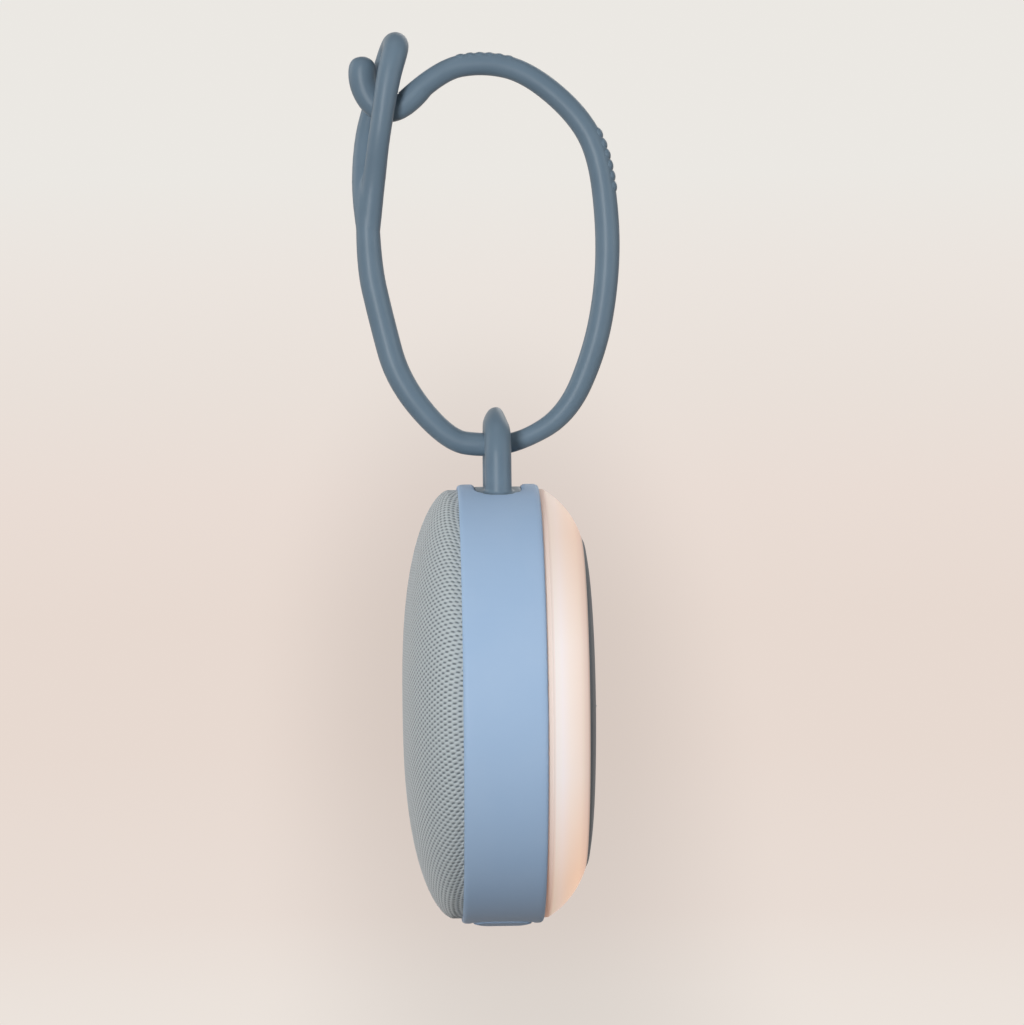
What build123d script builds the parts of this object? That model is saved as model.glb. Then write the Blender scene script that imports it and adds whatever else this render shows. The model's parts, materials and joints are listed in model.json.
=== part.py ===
"""A travel sound machine: a disc on a silicone strap, with a speaker, a lamp ring and a control cap.

All lengths are in millimetres. The origin is the hang point, on the inside of the strap's top.
+Z is up, the disc's axis runs along Y, the speaker faces +Y and the lamp and controls face -Y.
The disc is seated below the strap, so its axis height follows from the strap and the hang loop.
"""

import os
from math import cos, pi, radians, sin, tan

from build123d import *

# ---------------------------------------------------------------- driving dimensions
body_radius = 44.5          # outside of the belt
belt_width = 16.8
belt_wall = 1.95
belt_proud = 1.1            # how far the belt stands out from both domes
belt_lip = 1.5              # how far the belt reaches over each dome's edge
belt_edge_radius = 1.0

core_wall = 2.0
web_thickness = 1.5         # the plate across the core that carries boards and battery

fabric_thickness = 0.8
grille_thickness = 1.5
speaker_side_straight = 3.0  # straight part of the dome's edge, from the seam
speaker_side_rise = 9.8
speaker_form = (2.6, 0.59)  # power and squash of the dome's profile

lamp_wall = 2.0
lamp_straight = 2.3
lamp_depth = 7.6            # from the end of the straight edge to the cap's edge
lamp_bulge = 1.1
lamp_span = 9.8             # from the rim in to the control cap
cap_rise = 2.05
cap_form = (3.0, 0.58)
cap_wall = 1.5

strap_diameter = 4.9
loop_diameter = 5.4
loop_leg_spacing = 18.0
loop_eye_height = 10.78     # from the belt up to the inside of the arch
pocket_length = 26.6
pocket_width = 9.4
plug_sunk = 0.5             # how far the loop's plug lies below the belt's outside

port_cover_length = 17.0
port_cover_width = 11.8
port_cover_proud = 0.6
port_hinge_radius = 0.7     # the rolled edge that the cover swings on

speaker_flange_radius = 24.5
cone_radius = 15.6
magnet_radius = 16.0

battery_side_room = 16.6    # from the cap's edge in to the battery's sides
battery_end_room = 11.6     # and to its ends
battery_thickness = 4.8
board_thickness = 1.2
thin_board_thickness = 1.0

sound_button_radius = 7.0
small_button_radius = 4.0
button_circle = 15.0        # from the axis to the centre of each small button
button_flange_reach = 0.9
button_flange_thickness = 0.6
button_travel = 0.35

lead_diameter = 1.2

# ---------------------------------------------------------------- clearances
seat = 0.05                 # between two curved faces of one assembly
slip = 0.15                 # round a button in its hole
strap_gap = 0.15            # between the strap and the arch it carries
soft_gap = 0.3              # round the port cover

# ---------------------------------------------------------------- strap route, (y, z) from the hang point
strap_route = [
    (25.6, -24.8), (25.8, -36.9), (23.1, -49.2), (19.8, -62.0), (9.2, -74.3), (-5.1, -74.8),
    (-14.5, -68.8), (-20.2, -55.9), (-22.7, -43.1), (-23.2, -30.3), (-21.5, -15.8), (-16.8, -7.3),
    (-6.9, 1.0), (1.9, 3.0), (10.9, 1.4), (17.5, -4.9),
]
low_run = strap_route[4:6]  # the run that passes under the arch
tail_lead = 6.0             # how far the tail runs straight on before it turns up
tail_end = (26.3, 1.0)
tail_bend_radius = 3.9
knob_radius = 2.65
eyelet_leg_radius = 2.2
eyelet_half_gap = 5.1       # from the eyelet's middle to each leg's centre
eyelet_length = 32.2        # from the strap's end to the tip's centreline
eyelet_taper = 13.0         # the length over which the two legs part
eyelet_tilt = 10.4
eyelet_twist = 12.5

# ---------------------------------------------------------------- places that follow
(low_y, low_z), (next_y, next_z) = low_run
strap_seat_z = low_z + (next_z - low_z) * low_y / (low_y - next_y)     # the low run's height at the arch
arch_inner_z = strap_seat_z + strap_diameter / 2 + strap_gap
body_top_z = arch_inner_z - loop_eye_height
axis_z = body_top_z - body_radius

body_axis = Axis((0, 0, axis_z), (0, 1, 0))
section = Plane.XY.offset(axis_z)       # local x is the radius, local y the depth

rim_radius = body_radius - belt_proud
core_radius = body_radius - belt_wall - seat
core_inner = core_radius - core_wall
cap_radius = rim_radius - lamp_span
battery_width = 2 * (cap_radius - battery_side_room)
battery_height = 2 * (cap_radius - battery_end_room)
belt_edge = belt_width / 2
seam = belt_edge - belt_lip             # where each dome meets the core

web_front = -seam
web_back = web_front + web_thickness
boss_wall = 1.55                        # plastic round a screw's hole

lamp_edge = -seam - lamp_straight       # end of the lamp's straight edge
cap_edge = lamp_edge - lamp_depth       # the cap's outer edge
cap_seat = cap_edge + cap_wall          # where the cap's rim sits on the lamp
ledge = 1.5                             # thickness of the lamp's inner flange
carrier_front = cap_seat + ledge
carrier_thickness = 1.5
carrier_back = carrier_front + carrier_thickness
cap_ceiling = cap_edge - 1.0            # flat inside of the cap behind the buttons

control_board_front = carrier_front - thin_board_thickness
led_board_front = web_front - thin_board_thickness

baffle_back = 8.5
baffle_thickness = 2.0
baffle_front = baffle_back + baffle_thickness
gasket_thickness = 0.8
flange_back = baffle_front + gasket_thickness
flange_thickness = 1.0
flange_front = flange_back + flange_thickness

board_post = 2.6
board_back = web_back + board_post
board_front = board_back + board_thickness
board_radius = core_inner - 0.8
board_width = 2 * (core_inner - 14.5)
board_top = -(magnet_radius + 1.5)      # the board fills the core's lower part, below the magnet
chip_z = board_top - 7.5

# ---------------------------------------------------------------- helpers
pieces = {}


def keep(name, builder):
    """Label a finished piece and remember it for export."""
    builder.part.label = name
    pieces[name] = builder.part


def across(depth):
    """A plane across the disc's axis, facing the control side, with local y up."""
    return Plane(origin=(0, depth, axis_z), x_dir=(1, 0, 0), z_dir=(0, -1, 0))


def level(height):
    """A level plane at a height above the disc's axis."""
    return Plane.XY.offset(axis_z + height)


def ring(inner, outer, low, high, mode=Mode.ADD):
    """A ring, or a disc with inner = 0, turned about the disc's axis between two depths."""
    with BuildSketch(section) as profile:
        with Locations(((inner + outer) / 2, (low + high) / 2)):
            Rectangle(outer - inner, high - low)
    revolve(profile.sketch, axis=body_axis, mode=mode)


def peg(x, z, radius, low, high, mode=Mode.ADD):
    """A round peg or hole along the disc's axis, at (x, z) from it."""
    with BuildSketch(across(high)) as profile:
        with Locations((x, z)):
            Circle(radius)
    extrude(profile.sketch, amount=high - low, mode=mode)


def slab(x, z, width, height, low, high, mode=Mode.ADD):
    """A rectangular block between two depths, centred on (x, z) from the disc's axis."""
    with BuildSketch(across(high)) as profile:
        with Locations((x, z)):
            Rectangle(width, height)
    extrude(profile.sketch, amount=high - low, mode=mode)


def turned(outline, mode=Mode.ADD):
    """A closed outline of (radius, depth) points, turned about the disc's axis."""
    with BuildSketch(section) as profile:
        with BuildLine():
            Polyline(*outline, close=True)
        make_face()
    revolve(profile.sketch, axis=body_axis, mode=mode)


def dome_line(radius, start, rise, power, squash, steps=9):
    """A dome's profile from its edge to its top: rise * (1 - (r / radius) ** power) ** squash."""
    points = []
    for step in range(steps + 1):
        share = cos(radians(90 * step / steps))
        depth = start + rise * (1 - share**power) ** squash
        points.append((radius * share, depth))
    return Spline(*points)


def circle_places(radius, angles):
    """Places (x, z) on a circle round the axis, by angle from +X."""
    return [(radius * cos(radians(a)), radius * sin(radians(a))) for a in angles]


def screws(name, places, shank, head_radius, head_height, face, tip):
    """A group of equal screws: head behind a face, shank towards the tip, along the disc's axis."""
    back_of_head = face + head_height if tip < face else face - head_height
    with BuildPart() as group:
        for x, z in places:
            peg(x, z, head_radius, min(face, back_of_head), max(face, back_of_head))
            peg(x, z, shank, min(face, tip), max(face, tip))
            socket_end = back_of_head - 0.6 if tip < face else back_of_head + 0.6
            socket = (min(socket_end, back_of_head), max(socket_end, back_of_head))
            slab(x, z, 1.6, 0.5, *socket, Mode.SUBTRACT)
            slab(x, z, 0.5, 1.6, *socket, Mode.SUBTRACT)
    keep(name, group)


def wire(name, points, bends, diameter):
    """A round lead along straight runs joined by arcs, through (x, y, z above the axis) points."""
    placed = [(x, y, axis_z + z) for x, y, z in points]
    with BuildPart() as lead:
        with BuildLine() as path:
            FilletPolyline(*placed, radius=bends)
        with BuildSketch(Plane(origin=path.line @ 0, z_dir=path.line % 0)):
            Circle(diameter / 2)
        sweep(path=path.line)
    keep(name, lead)


# ---------------------------------------------------------------- screw places
pilot_radius = 0.95
shank_radius = pilot_radius - seat
clearance_radius = 1.15
screw_head_radius = 1.9
screw_head_height = 1.3

baffle_screw_circle = core_inner - 5.5
carrier_screw_circle = cap_radius - 5.1
cap_screw_circle = cap_radius - 6.6
baffle_screw_places = circle_places(baffle_screw_circle, [45, 135, 205, 335])
speaker_screw_circle = speaker_flange_radius - 1.9
speaker_screw_places = circle_places(speaker_screw_circle, [45, 135, 225, 315])
carrier_screw_places = circle_places(carrier_screw_circle, [45, 135, 225, 315])
cap_screw_places = circle_places(cap_screw_circle, [0, 90, 180, 270])
board_screw_places = [
    (-11.0, board_top - 3.5), (11.0, board_top - 3.5),
    (-14.0, 5.2 - board_radius), (14.0, 5.2 - board_radius),
]

# ---------------------------------------------------------------- loop anchor
loop_block_length = 39.0
loop_block_width = 13.0
loop_block_thickness = 4.1
loop_block_height = core_inner - loop_block_thickness    # underside of the block, above the axis
loop_flange_thickness = 1.5
retainer_thickness = 1.5
retainer_length = 38.0
anchor_width = 2 * abs(web_back) - 0.4  # of the flange and the retainer, which pass beside the web
loop_flange_reach = 1.5                 # how far the flange reaches past each end of the plug
plug_length = pocket_length - 0.8
plug_width = pocket_width - 0.8
retainer_pad_radius = clearance_radius + 0.4
retainer_screw_spacing = plug_length + 2 * (loop_flange_reach + retainer_pad_radius + slip)

# ---------------------------------------------------------------- wiring places
cable_place = (battery_width / 2 + 4.0, -8.0)
cable_width = 4.0
cable_thickness = 0.5
battery_lead_run = 4.5                  # from the battery's end to where its lead passes the web
battery_lead_place = (-8.0, -battery_height / 2 - battery_lead_run)
lamp_lead_place = circle_places(core_inner - 5.3, [214.6])[0]
lead_hole_radius = 1.3

# ---------------------------------------------------------------- port
usb_width = 8.94
usb_height = 3.2
usb_wall = 0.3
usb_length = 7.3
usb_mouth = core_radius - 0.9           # how far the socket reaches, from the axis
cover_radius = body_radius + port_cover_proud
port_hinge_x = port_cover_length / 2 - port_hinge_radius
port_hinge_z = port_hinge_radius - (cover_radius**2 - port_hinge_x**2) ** 0.5


def port_outline(grow):
    """The port cover's outline, rounded at its free end and square at its hinge end, grown by a gap."""
    with BuildSketch() as outline:
        Rectangle(port_cover_length + 2 * grow, port_cover_width + 2 * grow)
        fillet(outline.vertices().group_by(Axis.X)[0], radius=3.4 + grow)
        fillet(outline.vertices().group_by(Axis.X)[-1], radius=0.6 + grow)
    return outline.sketch


# ================================================================ case: core, belt, loop
with BuildPart() as core_housing:
    with BuildSketch(level(loop_block_height)):
        Rectangle(loop_block_length, loop_block_width)
    extrude(amount=core_radius - loop_block_height)
    ring(0, core_radius - core_wall / 2, -seam, seam, Mode.INTERSECT)
    ring(core_inner, core_radius, -seam, seam)
    ring(0, core_radius - core_wall / 2, web_front, web_back)
    for x, z in baffle_screw_places:
        peg(x, z, pilot_radius + boss_wall + 0.5, web_front, baffle_back)
        peg(x, z, pilot_radius, web_front + 4, baffle_back, Mode.SUBTRACT)
    for x, z in board_screw_places:
        peg(x, z, pilot_radius + boss_wall - 0.2, web_front, board_back)
        peg(x, z, pilot_radius, web_front, board_back, Mode.SUBTRACT)
    for x, z in carrier_screw_places:
        peg(x, z, clearance_radius, web_front, web_back, Mode.SUBTRACT)
    slab(*cable_place, cable_width + 1.2, cable_thickness + 1.4, web_front, web_back, Mode.SUBTRACT)
    peg(*battery_lead_place, lead_hole_radius, web_front, web_back, Mode.SUBTRACT)
    peg(*lamp_lead_place, lead_hole_radius, web_front, web_back, Mode.SUBTRACT)
    # window for the hang loop's plug, with pilot holes for its retainer
    with BuildSketch(level(loop_block_height)):
        SlotOverall(plug_length + 2 * slip, plug_width + 2 * slip)
    extrude(amount=body_radius, mode=Mode.SUBTRACT)
    with BuildSketch(level(loop_block_height)):
        with GridLocations(retainer_screw_spacing, 0, 2, 1):
            Circle(pilot_radius)
    extrude(amount=2.6, mode=Mode.SUBTRACT)
    # window for the charging socket
    with BuildSketch(level(-body_radius)):
        RectangleRounded(usb_width + 2 * slip, usb_height + 2 * slip, 1.2)
    extrude(amount=body_radius - core_inner + 1, mode=Mode.SUBTRACT)
keep("core_housing", core_housing)

with BuildPart() as belt:
    with BuildSketch(section):
        with Locations(((core_radius + seat + body_radius) / 2, 0)):
            Rectangle(body_radius - core_radius - seat, belt_width)
    revolve(axis=body_axis)
    outer_edges = belt.edges().filter_by(GeomType.CIRCLE).filter_by(lambda e: e.radius > body_radius - seat)
    fillet(outer_edges, radius=belt_edge_radius)
    ring(core_radius, rim_radius + seat, seam, belt_edge, Mode.SUBTRACT)
    ring(core_radius, rim_radius + seat, -belt_edge, -seam, Mode.SUBTRACT)
    with BuildSketch(level(0)):
        SlotOverall(pocket_length, pocket_width)
    extrude(amount=2 * body_radius, mode=Mode.SUBTRACT)
    with BuildSketch(level(-body_radius - 1)):
        add(port_outline(soft_gap))
    extrude(amount=body_radius, mode=Mode.SUBTRACT)
keep("belt", belt)

arch_radius = loop_leg_spacing / 2
arch_centre = arch_inner_z + loop_diameter / 2 - arch_radius - axis_z
plug_top = body_radius - plug_sunk
with BuildPart() as hang_loop:
    with BuildSketch(level(loop_block_height - loop_flange_thickness)):
        SlotOverall(plug_length + 2 * loop_flange_reach, anchor_width)
    extrude(amount=loop_flange_thickness)
    with BuildSketch(level(loop_block_height)):
        SlotOverall(plug_length, plug_width)
    extrude(amount=body_radius - loop_block_height)
    ring(0, plug_top, -plug_width, plug_width, Mode.INTERSECT)
    with BuildLine(Plane(origin=(0, 0, axis_z), x_dir=(1, 0, 0), z_dir=(0, -1, 0))) as arch:
        leg = Line((-arch_radius, loop_block_height + 1), (-arch_radius, arch_centre))
        bow = ThreePointArc(leg @ 1, (0, arch_centre + arch_radius), (arch_radius, arch_centre))
        Line(bow @ 1, (arch_radius, loop_block_height + 1))
    with BuildSketch(Plane(origin=arch.line @ 0, z_dir=arch.line % 0)):
        Circle(loop_diameter / 2)
    sweep(path=arch.line)
keep("hang_loop", hang_loop)

retainer_top = loop_block_height - loop_flange_thickness
with BuildPart() as loop_retainer:
    with BuildSketch(level(retainer_top - retainer_thickness)):
        RectangleRounded(retainer_length, anchor_width, 2.5)
        with GridLocations(retainer_screw_spacing, 0, 2, 1):
            Circle(clearance_radius, mode=Mode.SUBTRACT)
    extrude(amount=retainer_thickness)
    # end pads that fill the flange's thickness, so the plate screws down hard
    with BuildSketch(level(retainer_top)):
        with GridLocations(retainer_screw_spacing, 0, 2, 1):
            Circle(retainer_pad_radius)
            Circle(clearance_radius, mode=Mode.SUBTRACT)
    extrude(amount=loop_flange_thickness)
keep("loop_retainer", loop_retainer)

with BuildPart() as retainer_screws:
    with BuildSketch(level(retainer_top - retainer_thickness)):
        with GridLocations(retainer_screw_spacing, 0, 2, 1):
            Circle(screw_head_radius)
    extrude(amount=-screw_head_height)
    with BuildSketch(level(retainer_top - retainer_thickness)):
        with GridLocations(retainer_screw_spacing, 0, 2, 1):
            Circle(shank_radius)
    extrude(amount=retainer_thickness + loop_flange_thickness + 2.2)
keep("retainer_screws", retainer_screws)

# ================================================================ charging port
with BuildPart() as port_cover:
    with BuildSketch(level(-body_radius - 2)):
        add(port_outline(0))
    extrude(amount=body_radius)
    ring(core_radius + seat, cover_radius, -belt_width, belt_width, Mode.INTERSECT)
    # beyond the hinge line only the rolled edge is left
    with Locations((port_hinge_x, 0, axis_z - core_radius)):
        Box(port_cover_length, 2 * port_cover_width, body_radius / 4, mode=Mode.SUBTRACT,
            align=(Align.MIN, Align.CENTER, Align.CENTER))
    with Locations((port_hinge_x, 0, axis_z + port_hinge_z)):
        Cylinder(port_hinge_radius, port_cover_width - 1.0, rotation=(90, 0, 0))
    with BuildSketch(level(-core_radius)):
        RectangleRounded(usb_width - 1.6, usb_height - 1.3, 0.9)
    extrude(amount=core_radius - usb_mouth + 0.8)
    with BuildSketch(level(-core_radius)):
        RectangleRounded(usb_width, usb_height, 0.9)
    extrude(amount=-1)
keep("port_cover", port_cover)

with BuildPart() as usb_socket:
    with BuildSketch(level(-usb_mouth)):
        RectangleRounded(usb_width, usb_height, usb_height / 2 - 0.1)
        RectangleRounded(usb_width - 2 * usb_wall, usb_height - 2 * usb_wall, usb_height / 2 - 0.4,
                         mode=Mode.SUBTRACT)
    extrude(amount=usb_length)
    with BuildSketch(level(-usb_mouth + usb_length - 1.2)):
        RectangleRounded(usb_width - usb_wall, usb_height - usb_wall, usb_height / 2 - 0.3)
    extrude(amount=1.2)
    with BuildSketch(level(-usb_mouth + 1.2)):
        Rectangle(6.6, 0.7)
    extrude(amount=usb_length - 1.5)
keep("usb_socket", usb_socket)

# ================================================================ main board and what it carries
with BuildPart() as main_board:
    with BuildSketch(across(board_front)):
        Circle(board_radius)
        with Locations((0, board_top - board_radius)):
            Rectangle(board_width, 2 * board_radius, mode=Mode.INTERSECT)
        with Locations(*board_screw_places):
            Circle(clearance_radius, mode=Mode.SUBTRACT)
        with Locations(battery_lead_place):
            Circle(lead_hole_radius, mode=Mode.SUBTRACT)
    extrude(amount=board_thickness)
keep("main_board", main_board)

screws("main_board_screws", board_screw_places, shank_radius, screw_head_radius, screw_head_height,
       board_front, web_front + 0.3)

with BuildPart() as sound_chip:
    slab(board_width / 2 - 4.5, chip_z, 6.0, 6.0, board_front, board_front + 0.9)
keep("sound_chip", sound_chip)

with BuildPart() as amplifier_chip:
    slab(7 - board_width / 2, chip_z, 5.0, 5.0, board_front, board_front + 0.9)
keep("amplifier_chip", amplifier_chip)

with BuildPart() as power_inductor:
    with BuildSketch(across(board_front)):
        with Locations((7.5, chip_z - 2)):
            RectangleRounded(4.0, 4.0, 0.8)
    extrude(amount=-2.0)
keep("power_inductor", power_inductor)

connector_height = 4.0
connector_width = 5.0
connector_length = 4.5
battery_connector_end = battery_lead_place[1] - 4.0     # the end that its lead goes into
with BuildPart() as battery_connector:
    slab(battery_lead_place[0], battery_connector_end - connector_length / 2,
         connector_width, connector_length, board_front, board_front + connector_height)
keep("battery_connector", battery_connector)

terminal_z = 4.9 - speaker_flange_radius
speaker_lead_z = terminal_z - 5.9
with BuildPart() as speaker_connector:
    slab(0, speaker_lead_z, connector_width, connector_length, board_front, board_front + connector_height)
keep("speaker_connector", speaker_connector)

cable_connector_z = board_top - 2.5
with BuildPart() as cable_connector:
    slab(cable_place[0], cable_connector_z, 6.0, 3.0, board_front, board_front + 1.6)

# ================================================================ battery
pad_thickness = 0.5
battery_back = web_front - pad_thickness
battery_front = battery_back - battery_thickness
with BuildPart() as battery_pad:
    slab(0, 0, battery_width - 4, battery_height - 6, battery_back, web_front)
keep("battery_pad", battery_pad)

with BuildPart() as battery_cell:
    slab(0, 0, battery_width, battery_height, battery_front, battery_back)
    fillet(battery_cell.edges().filter_by(Axis.Z), radius=1.2)
keep("battery_cell", battery_cell)

lead_top = board_front + connector_height / 2 + 0.6
wire("battery_lead", [
    (battery_lead_place[0], (battery_front + battery_back) / 2, -battery_height / 2),
    (battery_lead_place[0], (battery_front + battery_back) / 2, battery_lead_place[1]),
    (battery_lead_place[0], lead_top, battery_lead_place[1]),
    (battery_lead_place[0], lead_top, battery_connector_end),
], [2.0, 1.8], lead_diameter)

# ================================================================ lamp
lamp_inner = rim_radius - lamp_wall
ledge_inner = cap_radius - 2.6
reflector_wall_radius = cap_radius - 2.0
reflector_wall = 1.2
led_circle = (reflector_wall_radius + reflector_wall + core_inner) / 2
led_height = 1.0
reflector_floor = 0.7
lamp_lead_turn = board_front + 1.4

with BuildPart() as led_board:
    ring(reflector_wall_radius + reflector_wall + 0.4, core_inner - 0.3, led_board_front, web_front)
keep("led_board", led_board)

with BuildPart() as lamp_leds:
    with Locations(across(led_board_front)):
        with PolarLocations(led_circle, 12):
            Box(2.8, 3.5, led_height, align=(Align.CENTER, Align.CENTER, Align.MIN))
keep("lamp_leds", lamp_leds)

with BuildPart() as reflector:
    ring(reflector_wall_radius, reflector_wall_radius + reflector_wall, carrier_back, web_front)
    ring(reflector_wall_radius, lamp_inner - 0.2, led_board_front - reflector_floor, led_board_front)
    with Locations(across(led_board_front + 0.01)):
        with PolarLocations(led_circle, 12):
            Box(3.6, 4.3, 2, align=(Align.CENTER, Align.CENTER, Align.MIN), mode=Mode.SUBTRACT)
keep("reflector", reflector)

with BuildPart() as lamp_diffuser:
    with BuildSketch(section):
        with BuildLine():
            edge = Line((rim_radius, -seam), (rim_radius, lamp_edge))
            shoulder = SagittaArc(edge @ 1, (cap_radius + 0.2, cap_edge), lamp_bulge)
            lip = Polyline(
                shoulder @ 1,
                (cap_radius + seat, cap_edge),
                (cap_radius + seat, cap_seat),
                (ledge_inner, cap_seat),
                (ledge_inner, carrier_front),
                (cap_radius + 0.4, carrier_front),
            )
            hollow = SagittaArc(lip @ 1, (lamp_inner, lamp_edge), -lamp_bulge)
            Polyline(hollow @ 1, (lamp_inner, -seam), edge @ 0)
        make_face()
    revolve(axis=body_axis)
keep("lamp_diffuser", lamp_diffuser)

wire("lamp_lead", [
    (lamp_lead_place[0], web_front, lamp_lead_place[1]),
    (lamp_lead_place[0], lamp_lead_turn, lamp_lead_place[1]),
    (3 - board_width / 2, lamp_lead_turn, board_top - 5.5),
    (3 - board_width / 2, board_front, board_top - 5.5),
], [1.6, 0.75], lead_diameter)

# ================================================================ control cap, buttons and their board
with BuildPart() as cap_blank:
    with BuildSketch(section):
        with BuildLine():
            dome = dome_line(cap_radius, cap_edge, -cap_rise, *cap_form)
            Polyline(dome @ 1, (0, cap_seat), (cap_radius, cap_seat), dome @ 0)
        make_face()
    revolve(axis=body_axis)

button_places = {
    "sound": (0.0, 0.0, sound_button_radius),
    "volume_up": (button_circle, 0.0, small_button_radius),
    "volume_down": (-button_circle, 0.0, small_button_radius),
    "light": (0.0, -button_circle, small_button_radius),
}
indicator_place = (0.0, button_circle)
indicator_radius = 1.1
button_back = cap_ceiling + seat + button_flange_thickness
switch_front = button_back + 0.1 + button_travel
plunger_radius = 1.5
rim_inner = cap_radius - 1.6
ceiling_radius = button_circle + small_button_radius + button_flange_reach + 1.2

with BuildPart() as control_cap:
    add(cap_blank.part)
    turned([
        (0, cap_ceiling), (ceiling_radius, cap_ceiling), (rim_inner, cap_seat - 0.9),
        (rim_inner, cap_seat), (0, cap_seat),
    ], Mode.SUBTRACT)
    for x, z in cap_screw_places:
        peg(x, z, pilot_radius + boss_wall - 0.3, cap_ceiling + 0.3, carrier_front)
        peg(x, z, pilot_radius, cap_seat - 1.4, carrier_front, Mode.SUBTRACT)
    for x, z, radius in button_places.values():
        peg(x, z, radius + slip, cap_edge - 2 * cap_rise, cap_ceiling, Mode.SUBTRACT)
    peg(*indicator_place, indicator_radius + seat, cap_edge - 2 * cap_rise, cap_ceiling, Mode.SUBTRACT)
keep("control_cap", control_cap)

for name, (x, z, radius) in button_places.items():
    with BuildPart() as button:
        peg(x, z, radius, cap_edge - 2 * cap_rise, cap_ceiling + seat)
        peg(x, z, radius + button_flange_reach, cap_ceiling + seat, button_back)
        add(cap_blank.part, mode=Mode.INTERSECT)
    keep(f"{name}_button", button)
    with BuildPart() as plunger:
        peg(x, z, plunger_radius, button_back, button_back + 1.3)
    keep(f"{name}_plunger", plunger)

with BuildPart() as indicator_lens:
    peg(*indicator_place, indicator_radius, cap_edge - 2 * cap_rise, control_board_front)
    peg(*indicator_place, indicator_radius + 0.7, cap_ceiling + seat, cap_ceiling + 0.7)
    with BuildSketch(section):
        with BuildLine():
            dome = dome_line(cap_radius, cap_edge, -cap_rise, *cap_form)
            Polyline(dome @ 1, (0, 0), (cap_radius, 0), dome @ 0)
        make_face()
    revolve(axis=body_axis, mode=Mode.INTERSECT)
keep("indicator_lens", indicator_lens)

with BuildPart() as key_switches:
    for x, z, radius in button_places.values():
        slab(x, z, 6.0, 6.0, switch_front, control_board_front)
        peg(x, z, plunger_radius + 0.1, switch_front, control_board_front - 0.4, Mode.SUBTRACT)
keep("key_switches", key_switches)

control_board_radius = cap_screw_circle - 3.0
with BuildPart() as control_board:
    ring(0, control_board_radius, control_board_front, carrier_front)
keep("control_board", control_board)

with BuildPart() as control_carrier:
    ring(0, reflector_wall_radius + 0.4, carrier_front, carrier_back)
    for x, z in carrier_screw_places:
        peg(x, z, pilot_radius + boss_wall, carrier_front, web_front)
        peg(x, z, pilot_radius, carrier_back + 1, web_front, Mode.SUBTRACT)
    for x, z in cap_screw_places:
        peg(x, z, clearance_radius, carrier_front, carrier_back, Mode.SUBTRACT)
    slab(*cable_place, cable_width + 1.2, cable_thickness + 1.4, carrier_front, carrier_back, Mode.SUBTRACT)
keep("control_carrier", control_carrier)

screws("cap_screws", cap_screw_places, shank_radius, screw_head_radius, screw_head_height,
       carrier_back, cap_seat - 1.1)
screws("carrier_screws", carrier_screw_places, shank_radius, screw_head_radius, screw_head_height,
       web_back, carrier_back + 1.6)

# ribbon from the control board, through the carrier and the web, to its connector
cable_depth = board_front + 0.8
cable_bend = 3.0
with BuildPart() as control_cable:
    cable_plane = Plane(origin=(cable_place[0], 0, axis_z), x_dir=(0, 1, 0), z_dir=(1, 0, 0))
    with BuildLine(cable_plane) as cable_path:
        FilletPolyline(
            (carrier_front, cable_place[1]),
            (cable_depth, cable_place[1]),
            (cable_depth, cable_connector_z + 1.5),
            radius=cable_bend,
        )
    start = Plane(origin=cable_path.line @ 0, x_dir=(1, 0, 0), z_dir=cable_path.line % 0)
    with BuildSketch(start):
        Rectangle(cable_width, cable_thickness)
    sweep(path=cable_path.line)
    add(cable_connector.part)
keep("control_cable", control_cable)

# ================================================================ speaker
basket_hole = speaker_flange_radius - 4.2
basket_mouth = basket_hole - 1.3
basket_throat = magnet_radius - 2.8
basket_foot = magnet_radius + 0.3
basket_wall = 0.85
baffle_radius = core_inner - 2.0
top_plate_back = 0.0
top_plate_thickness = 1.5
magnet_thickness = 3.5
yoke_thickness = 1.5
basket_floor = top_plate_back + top_plate_thickness
spider_seat = basket_floor + 2.7
pole_radius = 6.0
former_inner = 6.4
former_outer = 6.65
coil_outer = 7.2
gap_outer = 7.6
cone_depth = 5.8
cone_top = flange_front + 0.1
neck = cone_top - cone_depth
basket_slope = (basket_mouth + 0.8 - basket_foot) / (flange_back - basket_floor)
basket_waist = basket_foot + basket_slope * (spider_seat - basket_floor) - basket_wall

with BuildPart() as speaker_baffle:
    ring(basket_hole, baffle_radius, baffle_back, baffle_front)
    for x, z in speaker_screw_places:
        peg(x, z, pilot_radius + boss_wall - 0.7, baffle_back - 3, baffle_front)
        peg(x, z, pilot_radius, baffle_back - 3, baffle_front, Mode.SUBTRACT)
    for x, z in baffle_screw_places:
        peg(x, z, clearance_radius, baffle_back, baffle_front, Mode.SUBTRACT)
keep("speaker_baffle", speaker_baffle)

screws("baffle_screws", baffle_screw_places, shank_radius, screw_head_radius, screw_head_height,
       baffle_front, baffle_back - 5)

with BuildPart() as speaker_gasket:
    ring(basket_hole + 0.2, speaker_flange_radius, baffle_front, flange_back)
    for x, z in speaker_screw_places:
        peg(x, z, clearance_radius, baffle_front, flange_back, Mode.SUBTRACT)
keep("speaker_gasket", speaker_gasket)

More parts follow.
